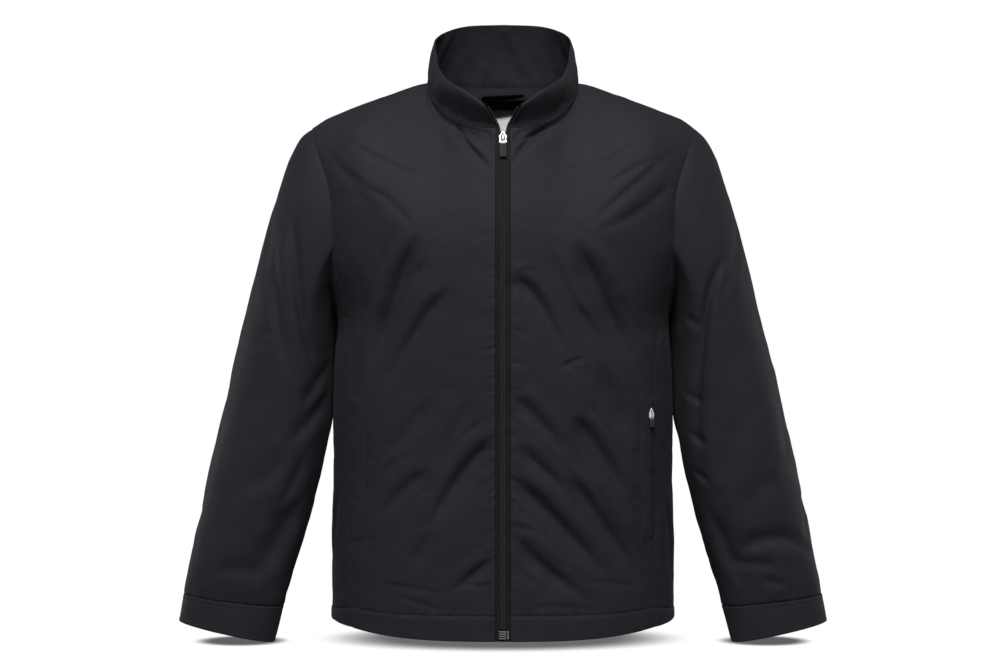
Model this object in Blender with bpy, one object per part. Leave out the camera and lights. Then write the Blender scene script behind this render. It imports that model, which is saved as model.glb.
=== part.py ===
"""Windbreaker jacket, filled out with nobody in it, as the cloth pieces that a maker cuts and sews.

Every piece of cloth is a thin wall round the empty inside. Metres, +Z up. The front faces -Y and the
wearer's right is -X. The origin is the middle of the neck's base, level with the two points where the
shoulder seams meet the collar.

The body is one smooth form, read by panel_form: at each height it is a rounded ring, and near the
shoulder line the front and the back curve in to meet. The panels are grids on that form between the
seams, the sleeves are rings that fan out from the armhole, and the collar is ruled between the neck
seam and its own top edge.
"""

import math

import bpy
import numpy as np
from mathutils import Matrix, Vector

# ---- driving sizes, in metres -------------------------------------------------------------------

CLOTH = 0.0015  # the wall of the body and the sleeves
BAND = 0.0025  # the wall of the collar and the cuffs, which are folded double
SEAM = 0.0003  # the gap that neighbouring pieces keep
WELT = 0.0016  # how thick the pocket welts are
ROUND = 2.3  # the power of the body's rings: 2 is an ellipse, more is squarer

HEM_Z = -0.687  # the lower edge at the sides
HEM_DIP = 0.016  # how much lower the edge is at the centre front
HEM_DIP_BACK = 0.007
HEM_BAND = (0.0316, 0.025, 0.014)  # height of the turned-up hem: centre front, side seams, side
HEM_STEP = 0.0007  # how far the doubled hem stands out

NECK_HALF = 0.0975  # half the width between the two neck points
NECK_FRONT = 0.103  # how far the neck seam comes forward
NECK_BACK = 0.075
NECK_DROP = 0.0698  # how far the neck seam drops at the centre front
NECK_RISE = 0.004
NECK_Z = 0.001

TIP_X, TIP_Z = 0.2470, -0.0585  # the shoulder tip, where sleeve and shoulder seam meet
JUNCTION_Z = -0.216  # where the side panels' seams run into the armhole
ARMPIT_Z = -0.300

ZIP_HALF = 0.0095  # from the zip's middle to the cloth's edge
ZIP_LOW_Z = -0.6885  # where the zip's teeth end above its box
BEAD = 0.0025  # the width of one side's teeth

# height, half width, depth to the front, depth to the back
TORSO = (
    (-0.720, 0.2225, 0.138, 0.132),
    (-0.650, 0.2215, 0.141, 0.131),
    (-0.550, 0.2200, 0.145, 0.131),
    (-0.430, 0.2195, 0.148, 0.134),
    (-0.360, 0.2178, 0.150, 0.139),
    (-0.300, 0.2160, 0.150, 0.144),
    (-0.280, 0.2225, 0.150, 0.145),
    (-0.250, 0.2350, 0.149, 0.147),
    (-0.216, 0.2470, 0.148, 0.148),
    (-0.177, 0.2525, 0.146, 0.149),
    (-0.138, 0.2560, 0.143, 0.148),
    (-0.100, 0.2700, 0.139, 0.145),
    (-0.058, 0.2950, 0.136, 0.140),
    (0.010, 0.3200, 0.133, 0.135),
)

# height, front panel's outer edge, back panel's outer edge: the side seams, then the armhole
EDGES = (
    (-0.720, 0.1905, 0.2030),
    (-0.600, 0.1895, 0.2010),
    (-0.400, 0.1895, 0.2000),
    (-0.345, 0.1930, 0.2015),
    (-0.280, 0.2050, 0.2075),
    (-0.216, 0.2125, 0.2115),
    (-0.177, 0.2143, 0.2125),
    (-0.138, 0.2202, 0.2170),
    (-0.100, 0.2330, 0.2285),
    (-0.075, 0.2425, 0.2400),
    (-0.0585, 0.2470, 0.2470),
)

# distance from the middle, height of the shoulder line
RIDGE = (
    (0.0000, 0.0300),
    (0.0600, 0.0170),
    (0.0975, 0.0010),
    (0.1130, -0.0027),
    (0.1330, -0.0094),
    (0.1525, -0.0168),
    (0.1730, -0.0246),
    (0.1930, -0.0324),
    (0.2130, -0.0402),
    (0.2314, -0.0480),
    (0.2470, -0.0585),
)

# place along the sleeve, outer x and z, inner x and z, half its depth, y of its middle
SLEEVE = (
    (0.00, 0.2470, -0.0585, 0.2160, -0.3000, 0.0870, 0.002),
    (0.05, 0.2615, -0.0725, 0.2175, -0.3060, 0.0875, 0.001),
    (0.11, 0.2756, -0.0992, 0.2188, -0.3160, 0.0875, 0.000),
    (0.18, 0.2886, -0.1382, 0.2198, -0.3290, 0.0865, -0.001),
    (0.25, 0.3003, -0.1772, 0.2206, -0.3440, 0.0850, -0.002),
    (0.33, 0.3146, -0.2292, 0.2214, -0.3640, 0.0820, -0.003),
    (0.41, 0.3276, -0.2812, 0.2221, -0.3880, 0.0780, -0.005),
    (0.49, 0.3406, -0.3332, 0.2226, -0.4150, 0.0735, -0.007),
    (0.58, 0.3540, -0.3900, 0.2252, -0.4500, 0.0685, -0.010),
    (0.68, 0.3680, -0.4530, 0.2335, -0.4950, 0.0635, -0.013),
    (0.78, 0.3815, -0.5152, 0.2445, -0.5420, 0.0570, -0.016),
    (0.87, 0.3945, -0.5780, 0.2592, -0.5950, 0.0490, -0.019),
    (0.96, 0.4070, -0.6400, 0.2760, -0.6500, 0.0390, -0.022),
    (1.00, 0.4098, -0.6586, 0.2826, -0.6745, 0.0345, -0.023),
)

# the cuff's seam edge and its open edge, in the same columns after the first
CUFF = (
    (0.0, 0.4106, -0.6590, 0.2818, -0.6750, 0.0355, -0.023),
    (1.0, 0.4171, -0.6934, 0.2939, -0.7212, 0.0320, -0.024),
)

# place round the collar from the centre back (0) past the neck point (0.5) to the zip (1),
# then x, y and z of its top edge
COLLAR_TOP = (
    (0.000, 0.0000, 0.0620, 0.0870),
    (0.167, 0.0470, 0.0550, 0.0840),
    (0.278, 0.0670, 0.0430, 0.0780),
    (0.389, 0.0820, 0.0230, 0.0680),
    (0.500, 0.0885, 0.0000, 0.0545),
    (0.589, 0.0863, -0.0255, 0.0332),
    (0.677, 0.0798, -0.0495, 0.0122),
    (0.766, 0.0710, -0.0715, -0.0033),
    (0.840, 0.0605, -0.0885, -0.0124),
    (0.900, 0.0481, -0.1010, -0.0205),
    (0.950, 0.0357, -0.1070, -0.0293),
    (1.000, 0.0223, -0.1100, -0.0405),
)
COLLAR_BOW = 0.0025  # how far the collar's middle stands out from straight

# height, how far each half of the zip lies from the middle, from where the two part to the collar's corner
ZIP_PARTING = (
    (-0.0820, 0.0000),
    (-0.0790, 0.0013),
    (-0.0760, 0.0025),
    (-0.0670, 0.0045),
    (-0.0540, 0.0098),
    (-0.0440, 0.0158),
)

# Soft folds of the fronts: side, then x and z of the two ends, half its width, depth of the trough.
# x counts outwards from the middle.
FRONT_FOLDS = (
    ("right", 0.210, -0.107, 0.128, -0.150, 0.014, 0.0030),
    ("right", 0.181, -0.102, 0.089, -0.131, 0.012, 0.0025),
    ("right", 0.058, -0.070, 0.030, -0.108, 0.009, 0.0030),
    ("right", 0.112, -0.222, 0.166, -0.338, 0.016, 0.0045),
    ("right", 0.075, -0.284, 0.172, -0.387, 0.016, 0.0040),
    ("right", 0.021, -0.451, 0.097, -0.559, 0.017, 0.0050),
    ("right", 0.101, -0.494, 0.150, -0.537, 0.013, 0.0030),
    ("left", 0.219, -0.101, 0.120, -0.170, 0.014, 0.0030),
    ("left", 0.066, -0.079, 0.016, -0.110, 0.009, 0.0030),
    ("left", 0.033, -0.266, 0.097, -0.349, 0.014, 0.0040),
    ("left", 0.105, -0.220, 0.168, -0.355, 0.016, 0.0045),
    ("left", 0.011, -0.392, 0.054, -0.445, 0.013, 0.0030),
    ("left", 0.016, -0.499, 0.097, -0.624, 0.018, 0.0055),
    ("left", 0.092, -0.499, 0.168, -0.602, 0.017, 0.0050),
)

# The same for the back, with x counted to the wearer's left.
BACK_FOLDS = (
    (-0.205, -0.120, -0.120, -0.165, 0.015, 0.0030),
    (0.200, -0.112, 0.110, -0.172, 0.015, 0.0030),
    (-0.060, -0.300, -0.165, -0.420, 0.018, 0.0045),
    (0.045, -0.320, 0.160, -0.410, 0.018, 0.0040),
    (-0.020, -0.470, -0.130, -0.590, 0.018, 0.0050),
    (0.030, -0.500, 0.140, -0.600, 0.018, 0.0045),
)

# The same for the sleeves, with the face they lie on; x counts outwards.
SLEEVE_FOLDS = (
    ("right", "front", 0.291, -0.226, 0.258, -0.415, 0.013, 0.0040),
    ("right", "front", 0.258, -0.524, 0.302, -0.596, 0.013, 0.0040),
    ("right", "back", 0.300, -0.250, 0.262, -0.400, 0.014, 0.0040),
    ("right", "back", 0.262, -0.480, 0.330, -0.540, 0.014, 0.0040),
    ("left", "front", 0.291, -0.226, 0.263, -0.480, 0.013, 0.0040),
    ("left", "front", 0.312, -0.612, 0.388, -0.606, 0.011, 0.0040),
    ("left", "back", 0.305, -0.240, 0.268, -0.410, 0.014, 0.0040),
    ("left", "back", 0.275, -0.500, 0.345, -0.560, 0.014, 0.0040),
)

# ---- grids: rows, columns and the seams they share ----------------------------------------------

# how far up each row is, from the hem's stitching to the junction, then from there to the shoulder
ROWS_LOW = (0, 0.05, 0.105, 0.16, 0.22, 0.28, 0.34, 0.40, 0.46, 0.52, 0.581, 0.65, 0.72, 0.79, 0.86, 0.93, 1)
ROWS_HIGH = (0.16, 0.33, 0.50, 0.66, 0.82, 0.93, 1)
WELT_ROWS = (0.16, 0.581)  # the rows at the lower and the upper end of the pocket welts

NECK_STEPS_FRONT = (84.6, 70, 56, 42, 28, 14)  # degrees round from the neck point, to the zip
NECK_STEPS_BACK = (90, 67.5, 45, 22.5)
SHOULDER_XS = (NECK_HALF, 0.118, 0.140, 0.163, 0.187, 0.209, 0.230, TIP_X)
FRONT_XS = (ZIP_HALF, 0.025, 0.041, 0.057, 0.073, 0.089, 0.105, 0.121, 0.137, 0.154, 0.171, 0.1828, 0.1885, 0.1895)
WELT_COLUMNS = (10, 11, 12)  # the welt's inner edge, the zip beside it, and the zip's far edge
SIDE_STEPS = 5
SLEEVE_STEPS = 18
COLLAR_ROWS = (0, 0.22, 0.45, 0.7, 1)

BLACK_CLOTH = ("shell_cloth", (0.022, 0.021, 0.027), 0.55, 0.0)
BLACK_TAPE = ("zip_tape_weave", (0.014, 0.014, 0.015), 0.7, 0.0)
SILVER = ("slider_metal", (0.62, 0.61, 0.59), 0.28, 1.0)
BLACK_MOULDING = ("pull_moulding", (0.02, 0.02, 0.022), 0.5, 0.0)
LABEL_BLACK = ("label_black", (0.012, 0.012, 0.013), 0.6, 0.0)
LABEL_WHITE = ("label_white", (0.80, 0.80, 0.79), 0.7, 0.0)


# ---- small tools --------------------------------------------------------------------------------


def along(table, column, at):
    """One column of a table as a smooth curve of its first column: cubic pieces whose slopes are the table's own differences."""
    rows = np.array(table, float)
    t, y = rows[:, 0], rows[:, column]
    slope = np.gradient(y, t)
    at = np.clip(at, t[0], t[-1])
    i = np.clip(np.searchsorted(t, at, side="right") - 1, 0, len(t) - 2)
    h = t[i + 1] - t[i]
    s = (at - t[i]) / h
    ends = (1 + 2 * s) * (1 - s) ** 2 * y[i] + s**2 * (3 - 2 * s) * y[i + 1]
    return ends + s * (1 - s) ** 2 * h * slope[i] - s**2 * (1 - s) * h * slope[i + 1]


def ease(x, low, high):
    """0 below low, 1 above high, and a smooth step between."""
    s = np.clip((x - low) / (high - low), 0, 1)
    return s * s * (3 - 2 * s)


def unit(v):
    """Vectors of length 1, along the last axis."""
    return v / np.maximum(np.linalg.norm(v, axis=-1, keepdims=True), 1e-12)


def normals(points, closed=False):
    """The outward normal at each point of a grid whose columns run anticlockwise seen from above and whose rows run up."""
    if closed:
        across = np.roll(points, -1, axis=1) - np.roll(points, 1, axis=1)
    else:
        across = np.gradient(points, axis=1)
    return unit(np.cross(across, np.gradient(points, axis=0)))


def troughs(x, z, folds):
    """How deep the folds press at (x, z): each is a smooth valley along a line, deepest in its middle and fading out at both ends, with a low ridge beside it."""
    depth = np.zeros(np.broadcast(x, z).shape)
    for x0, z0, x1, z1, width, deep in folds:
        run = math.hypot(x1 - x0, z1 - z0)
        ux, uz = (x1 - x0) / run, (z1 - z0) / run
        t = ((x - x0) * ux + (z - z0) * uz) / run
        off = (x - x0) * uz - (z - z0) * ux
        fade = ease(t, -0.12, 0.30) * (1 - ease(t, 0.70, 1.12))
        valley = np.exp(-((off / width) ** 2))
        ridge = np.exp(-(((off - 1.7 * width) / width) ** 2))
        depth += deep * fade * (valley - 0.45 * ridge)
    return depth


# ---- the body's form ----------------------------------------------------------------------------


def panel_form(x, z, face):
    """How far the cloth lies from the plane y = 0 at distance x from the middle and height z: the ring's depth, brought in to 0 at the shoulder line by 1 - (1 - s)^2 over the rounding's height."""
    x = np.abs(x)
    front = face == "front"
    t = ease(x, 0.07, 0.20)
    height = (0.26 + (0.12 - 0.26) * t) if front else (0.21 + (0.13 - 0.21) * t)
    power = (1.2 + 0.8 * t) if front else 2.0
    s = np.clip((along(RIDGE, 1, x) - z) / height, 0, 1)
    rounding = (1 - (1 - s) ** 2) ** (1 / power)
    depth = along(TORSO, 2 if front else 3, z)
    ring = np.clip(1 - (x / along(TORSO, 1, z)) ** ROUND, 0, 1) ** (1 / ROUND)
    return depth * ring * rounding


def ring_normal(x, y, z):
    """The level normal of the body's ring through (x, y, z)."""
    half = along(TORSO, 1, z)
    depth = np.where(y < 0, along(TORSO, 2, z), along(TORSO, 3, z))
    nx = np.sign(x) * np.abs(x) ** (ROUND - 1) / half**ROUND
    ny = np.sign(y) * np.abs(y) ** (ROUND - 1) / depth**ROUND
    return unit(np.stack([nx, ny, np.zeros_like(nx)], axis=-1))


def hem_z(x, face):
    """The height of the lower edge: lowest at the middle, and rising late towards the sides."""
    dip = HEM_DIP if face == "front" else HEM_DIP_BACK
    return HEM_Z - dip * np.clip(1 - np.abs(x / 0.2197) ** 3.6, 0, 1)


def row_heights(hem, band, top, fractions):
    """The height of every row of some columns: the hem's edge, two rows at its stitching, and the rest by their fractions of the way to the top."""
    stitch = hem + band
    up = [stitch + 0.001 + f * (top - stitch - 0.001) for f in fractions[1:]]
    return np.array([hem, stitch - 0.001, stitch + 0.001, *up])


def edge_fractions(hem, band):
    """The fractions, along a panel's outer edge, of the rows below and above the junction."""
    start = hem + band + 0.001
    low = [f * (JUNCTION_Z - start) for f in ROWS_LOW]
    high = [JUNCTION_Z - start + f * (TIP_Z - JUNCTION_Z) for f in ROWS_HIGH]
    return np.array(low + high) / (TIP_Z - start)


LOW_ROWS = 2 + len(ROWS_LOW)  # the rows of a panel up to the junction, the hem's two with them


def half_panel(face):
    """The outer points of one half of the front or back, for the wearer's left: rows up, columns from the middle out."""
    front = face == "front"
    steps = np.radians(NECK_STEPS_FRONT if front else NECK_STEPS_BACK)
    inner = ZIP_HALF if front else 0.0
    neck_x = NECK_HALF * np.cos(steps)
    neck_z = NECK_Z + (-NECK_DROP if front else NECK_RISE) * np.sin(steps)
    neck_y = (NECK_FRONT if front else NECK_BACK) * np.sin(steps)
    top_x = np.concatenate([neck_x, SHOULDER_XS])
    top_z = np.concatenate([neck_z, along(RIDGE, 1, np.array(SHOULDER_XS))])
    columns = len(top_x)
    low_x = np.array(FRONT_XS) if front else np.linspace(0, EDGES[2][2], columns)
    low_share = (low_x - inner) / (low_x[-1] - inner)
    top_share = (top_x - inner) / (TIP_X - inner)
    edge_column = 1 if front else 2
    hem = hem_z(low_x, face)
    band = HEM_BAND[1] + (HEM_BAND[0] - HEM_BAND[1]) * (1 - low_share**2) * front
    fractions = edge_fractions(hem[-1], band[-1])
    z = row_heights(hem, band, top_z, fractions)
    rise = np.concatenate([[0, 0], fractions])[:, None]
    mix = ease(rise, 0.45, 1.0)
    share = low_share + (top_share - low_share) * mix
    x = inner + share * (along(EDGES, edge_column, z) - inner)
    x[-1] = top_x
    y = panel_form(x, z, face)
    wanted = np.concatenate([neck_y, y[-1, len(neck_y) :]])
    below = top_z - z
    y += (wanted - y[-1]) * np.exp(-((below / 0.045) ** 2))
    y[-1, len(neck_y) :] = 0.0
    return np.stack([x, -y if front else y, z], axis=-1)


def shoulder_normal():
    """The direction square to the shoulder seam, which both panels' walls follow there."""
    return unit(np.array([0.0585, 0.0, 0.1495]))


def seam_directions(points, direct):
    """The directions in which a half panel's wall gets its thickness: its own normals, but the ring's at the side seam and the seam's own at the shoulder."""
    direct[:LOW_ROWS, -1] = ring_normal(*points[:LOW_ROWS, -1].T)
    shoulder = len(SHOULDER_XS)
    direct[-1, -shoulder:] = shoulder_normal()
    return unit(direct)


def mirrored(points):
    """A grid on the wearer's left, turned into the one on the right, with its columns in the same order round the body."""
    return points[:, ::-1] * np.array([-1.0, 1.0, 1.0])


def pressed(points, direct, depth):
    """The points moved inwards by depth, fading out over the border rows and columns so that seams still meet."""
    rows, columns = depth.shape
    r, c = np.arange(rows)[:, None], np.arange(columns)[None, :]
    hold = np.clip((rows - 1 - r) / 2, 0, 1) * np.clip(np.minimum(c, columns - 1 - c) / 2, 0, 1)
    return points - direct * (depth * hold)[..., None]


def inset(edge, inner, closed):
    """At each point of a border, the move that takes both neighbouring stretches of it one unit inwards: with a and b the stretches' own inward directions, (a + b) / (1 + a.b)."""
    if closed:
        ahead, behind = np.roll(edge, -1, axis=0) - edge, edge - np.roll(edge, 1, axis=0)
    else:
        steps = np.diff(edge, axis=0)
        ahead, behind = np.concatenate([steps, steps[-1:]]), np.concatenate([steps[:1], steps])
    a, b = (
        unit((inner - edge) - run * np.sum((inner - edge) * run, axis=-1, keepdims=True))
        for run in (unit(ahead), unit(behind))
    )
    return (a + b) / np.maximum(1 + np.sum(a * b, axis=-1, keepdims=True), 0.1)


def drawn_in(points, closed=False):
    """The grid with its borders drawn in by just over half a seam gap."""
    out = points.copy()
    move = SEAM * 0.53
    lower, upper = inset(points[0], points[1], closed), inset(points[-1], points[-2], closed)
    out[0] += lower * move
    out[-1] += upper * move
    if closed:
        return out
    for edge, inner in ((0, 1), (-1, -2)):
        side = inset(points[:, edge], points[:, inner], False)
        out[1:-1, edge] += side[1:-1] * move
        for row, end in ((0, lower), (-1, upper)):
            a, b = end[edge], side[row]
            out[row, edge] = points[row, edge] + (a + b) / max(1 + a @ b, 0.1) * move
    return out


# ---- making objects -----------------------------------------------------------------------------


def material(spec):
    """The material of that name, made once: a plain Principled surface."""
    name, colour, roughness, metallic = spec
    found = bpy.data.materials.get(name)
    if found:
        return found
    made = bpy.data.materials.new(name)
    made.use_nodes = True
    shader = made.node_tree.nodes["Principled BSDF"]
    shader.inputs["Base Color"].default_value = (*colour, 1.0)
    shader.inputs["Roughness"].default_value = roughness
    shader.inputs["Metallic"].default_value = metallic
    made.diffuse_color = (*colour, 1.0)
    return made


def mesh_object(name, points, faces, spec, smooth_angle=40):
    """A named object of those points and faces, shaded smooth but for its sharp edges."""
    mesh = bpy.data.meshes.new(name)
    mesh.from_pydata([tuple(p) for p in points], [], faces)
    mesh.validate()
    mesh.shade_smooth()
    mesh.set_sharp_from_angle(angle=math.radians(smooth_angle))
    made = bpy.data.objects.new(name, mesh)
    made.data.materials.append(material(spec))
    bpy.context.scene.collection.objects.link(made)
    return made


def grid_quads(rows, columns, closed):
    """The corners of each cell of a grid of points numbered row by row: anticlockwise seen from outside."""
    r, c = np.meshgrid(np.arange(rows - 1), np.arange(columns if closed else columns - 1), indexing="ij")
    d = (c + 1) % columns
    quads = np.stack([r * columns + c, r * columns + d, (r + 1) * columns + d, (r + 1) * columns + c], axis=-1)
    return quads.reshape(-1, 4)


def split(quads, points):
    """Each quad as two triangles, cut along its shorter diagonal."""
    a, b, c, d = quads.T
    shorter = np.linalg.norm(points[a] - points[c], axis=1) <= np.linalg.norm(points[b] - points[d], axis=1)
    first = np.where(shorter[:, None], np.stack([a, b, c], axis=1), np.stack([a, b, d], axis=1))
    second = np.where(shorter[:, None], np.stack([a, c, d], axis=1), np.stack([b, c, d], axis=1))
    return np.concatenate([first, second])


def wall(name, outer, inner, spec, closed=False):
    """A closed wall between an outer and an inner grid of the same size, with rims along its open borders."""
    rows, columns = outer.shape[:2]
    count = rows * columns
    index = np.arange(count).reshape(rows, columns)
    points = np.concatenate([outer.reshape(-1, 3), inner.reshape(-1, 3)])
    skin = split(grid_quads(rows, columns, closed), points)
    borders = [index[0], index[-1][::-1]]
    if not closed:
        borders += [index[:, -1], index[::-1, 0]]
    rims = []
    for border in borders:
        ends = np.append(border, border[0]) if closed else border
        a, b = ends[:-1], ends[1:]
        rims.append(split(np.stack([b, a, a + count, b + count], axis=-1), points))
    faces = np.concatenate([skin, (skin + count)[:, ::-1], *rims])
    return mesh_object(name, points, faces.tolist(), spec)


def prism(outline, low, high):
    """The points and faces of a flat outline, given anticlockwise in its own plane, carried from low to high along the third axis."""
    count = len(outline)
    points = [(u, v, low) for u, v in outline] + [(u, v, high) for u, v in outline]
    faces = [tuple(range(count))[::-1], tuple(range(count, 2 * count))]
    faces += [(i, (i + 1) % count, (i + 1) % count + count, i + count) for i in range(count)]
    return points, faces


def block(x0, x1, y0, y1, z0, z1):
    """The points and faces of a plain block."""
    return prism(((x0, y0), (x1, y0), (x1, y1), (x0, y1)), z0, z1)


def rounded(half_low, half_high, low, high, corner, steps=3):
    """An outline with four round corners, half_low wide at its lower end and half_high at its upper end."""
    out = []
    for cx, cy, start in (
        (half_low - corner, low + corner, -90),
        (half_high - corner, high - corner, 0),
        (-half_high + corner, high - corner, 90),
        (-half_low + corner, low + corner, 180),
    ):
        for k in range(steps + 1):
            a = math.radians(start + 90 * k / steps)
            out.append((cx + corner * math.cos(a), cy + corner * math.sin(a)))
    return out


def joined(name, solids, place, spec):
    """Solids that run into each other, made one body by Boolean unions, and placed."""
    made = mesh_object(name, *solids[0], spec)
    made.matrix_world = place
    for k, solid in enumerate(solids[1:]):
        cutter = mesh_object(f"{name}_part_{k}", *solid, spec)
        cutter.matrix_world = place
        cutter.hide_render = True
        cutter.display_type = "WIRE"
        union = made.modifiers.new(f"union_{k}", "BOOLEAN")
        union.operation = "UNION"
        union.object = cutter
    return made


# ---- the cloth pieces ---------------------------------------------------------------------------


def front_grid(side):
    """The outer points of a front panel and the directions of its wall, columns running anticlockwise seen from above."""
    points = half_panel("front")
    direct = seam_directions(points, normals(points))
    table = [row[1:] for row in FRONT_FOLDS if row[0] == side]
    depth = troughs(points[..., 0], points[..., 2], table)
    flat = ease(points[..., 0], 0.145, 0.168) * (1 - ease(np.abs(points[..., 2] + 0.50), 0.11, 0.15))
    points = pressed(points, direct, depth * (1 - flat))
    points[:2] += direct[:2] * HEM_STEP
    if side == "right":
        return mirrored(points), mirrored(direct)
    return points, direct


def make_fronts():
    """The two fronts, and on each the welt of its pocket."""
    for side in ("right", "left"):
        points, direct = front_grid(side)
        outer = drawn_in(points)
        wall(f"front_{side}", outer, outer - direct * CLOTH, BLACK_CLOTH)
        make_welt(side, points, direct)


def make_welt(side, points, direct):
    """The pocket's welt: a stretch of the front's own points, moved out. On the left it stops short of the zip, which shows beside it."""
    inner_edge, zip_edge, far_edge = WELT_COLUMNS
    rows = slice(*[2 + ROWS_LOW.index(f) + k for f, k in zip(WELT_ROWS, (0, 1))])
    last = points.shape[1] - 1
    reach = zip_edge if side == "left" else far_edge
    if side == "left":
        columns, zip_columns = slice(inner_edge, reach + 1), slice(zip_edge, far_edge + 1)
    else:
        columns = slice(last - reach, last - inner_edge + 1)
    base, out = points[rows, columns], direct[rows, columns]
    raised = drawn_in(base + out * (SEAM + WELT))
    wall(f"welt_{side}", raised, drawn_in(base + out * SEAM), BLACK_CLOTH)
    if side == "left":
        base, out = points[rows, zip_columns], direct[rows, zip_columns]
        wall("pocket_zip", drawn_in(base + out * (SEAM + 0.0010)), drawn_in(base + out * SEAM), BLACK_TAPE)
        return


def back_grid():
    """The outer points of the whole back, from the wearer's left round to the right."""
    half = half_panel("back")
    direct = -normals(half)
    direct = seam_directions(half, direct)
    left, left_direct = half[:, ::-1], direct[:, ::-1]
    right = half[:, 1:] * np.array([-1.0, 1.0, 1.0])
    right_direct = direct[:, 1:] * np.array([-1.0, 1.0, 1.0])
    points = np.concatenate([left, right], axis=1)
    direct = unit(np.concatenate([left_direct, right_direct], axis=1))
    middle = len(half[0]) - 1
    direct[:, middle, 0] = 0.0
    direct = unit(direct)
    depth = troughs(points[..., 0], points[..., 2], BACK_FOLDS)
    points = pressed(points, direct, depth)
    points[:2] += direct[:2] * HEM_STEP
    return points, direct


def make_back():
    """The back, in one piece."""
    points, direct = back_grid()
    outer = drawn_in(points)
    wall("back", outer, outer - direct * CLOTH, BLACK_CLOTH)


def side_grid():
    """The outer points of the wearer's left side panel, from its front seam round to its back seam."""
    front, back = half_panel("front"), half_panel("back")
    seams = [front[:LOW_ROWS, -1], back[:LOW_ROWS, -1]]
    angles = []
    for seam, sign in zip(seams, (-1, 1)):
        ratio = seam[:, 0] / along(TORSO, 1, seam[:, 2])
        angles.append(sign * np.arccos(np.clip(ratio, 0, 1) ** (ROUND / 2)))
    k = np.linspace(0, 1, SIDE_STEPS + 1)
    swing = np.sin(np.pi * k)
    top = JUNCTION_Z - (JUNCTION_Z - ARMPIT_Z) * -1 * -(swing**0.75)
    hem = seams[0][0, 2] + (seams[1][0, 2] - seams[0][0, 2]) * k + 0.002 * swing
    band = HEM_BAND[1] + (HEM_BAND[2] - HEM_BAND[1]) * swing
    z = row_heights(hem, band, top, ROWS_LOW)
    angle = angles[0][:, None] * (1 - k) + angles[1][:, None] * k
    x = along(TORSO, 1, z) * np.cos(angle) ** (2 / ROUND)
    depth = np.where(angle < 0, along(TORSO, 2, z), along(TORSO, 3, z))
    y = np.sign(angle) * depth * np.abs(np.sin(angle)) ** (2 / ROUND)
    points = np.stack([x, y, z], axis=-1)
    points[:, 0], points[:, -1] = seams
    return points


def make_sides():
    """The two side panels, between the front and the back below the armhole."""
    left = side_grid()
    direct = unit(0.35 * normals(left) + 0.65 * ring_normal(left[..., 0], left[..., 1], left[..., 2]))
    direct[:, [0, -1]] = ring_normal(*left[:, [0, -1]].transpose(2, 0, 1))
    stepped = left.copy()
    stepped[:2] += direct[:2] * HEM_STEP
    for side in ("right", "left"):
        points, out = (mirrored(stepped), mirrored(direct)) if side == "right" else (stepped, direct)
        outer = drawn_in(points)
        wall(f"side_{side}", outer, outer - out * CLOTH, BLACK_CLOTH)


def armhole_ring():
    """The armhole's points on the wearer's left, once round: from the shoulder tip down the front, along the side panel's top and up the back."""
    front, back, side = half_panel("front"), half_panel("back"), side_grid()
    down = front[LOW_ROWS - 1 :, -1][::-1]
    under = side[-1, 1:-1]
    up = back[LOW_ROWS - 1 : -1, -1]
    return np.concatenate([down, under, up])


def tube_ring(row, angles):
    """A ring of the sleeve or cuff: a row of the table gives its outer and inner points, and the angles run from the outer point forwards and round."""
    outer_x, outer_z, inner_x, inner_z, deep, middle_y = row
    middle = np.array([(outer_x + inner_x) / 2, middle_y, (outer_z + inner_z) / 2])
    across = np.array([(outer_x - inner_x) / 2, 0, (outer_z - inner_z) / 2])
    c, s = np.cos(angles)[:, None], np.sin(angles)[:, None]
    power = 2 / 2.15
    return (
        middle
        + np.sign(c) * np.abs(c) ** power * across
        - np.sign(s) * np.abs(s) ** power * np.array([0, deep, 0])
    )


def ring_angles(ring):
    """The angle of each armhole point about the first ring's middle."""
    _, outer_x, outer_z, inner_x, inner_z, deep, middle_y = SLEEVE[0]
    across = np.array([(outer_x - inner_x) / 2, 0, (outer_z - inner_z) / 2])
    middle = np.array([(outer_x + inner_x) / 2, middle_y, (outer_z + inner_z) / 2])
    to = ring - middle
    c = to @ across / (across @ across)
    s = -to[:, 1] / deep
    return np.unwrap(np.arctan2(s, c))


def sleeve_grid(side):
    """The outer points of a sleeve, ring by ring from the armhole down, and the directions of its wall."""
    hole = armhole_ring()
    start = ring_angles(hole)
    even = np.linspace(0, 2 * np.pi, len(hole), endpoint=False)
    miss = hole - tube_ring(SLEEVE[0][1:], start)
    rings = []
    for place in np.linspace(0, 1, SLEEVE_STEPS + 1) ** 1.15:
        row = [along(SLEEVE, k, place) for k in range(1, 7)]
        angles = start + (even - start) * ease(place, 0.0, 0.5)
        rings.append(tube_ring(row, angles) + miss * (1 - ease(place, 0.0, 0.30)))
    points = np.array(rings)[::-1]
    direct = normals(points[:, ::-1], closed=True)[:, ::-1]
    depth = np.zeros(points.shape[:2])
    for face, sign in (("front", -1), ("back", 1)):
        table = [row[2:] for row in SLEEVE_FOLDS if row[:2] == (side, face)]
        on_face = ease(sign * points[..., 1], 0.0, 0.03)
        depth += troughs(points[..., 0], points[..., 2], table) * on_face
    hold = np.clip(np.minimum(np.arange(len(points)), np.arange(len(points))[::-1]) / 2, 0, 1)
    points = points - direct * (depth * hold[:, None])[..., None]
    points[-1] += np.array([0.0006, 0, 0])
    body = -unit(np.array([0.0, hole.mean(0)[1], -0.2]) - hole)
    lean = (1 + np.cos(start)[:, None]) / 2
    direct[-1] = unit(direct[-1] * (1 - lean) + unit(body * [0.5, 1, 1] + [0, 0, 0.4]) * lean)
    return points, direct


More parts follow.
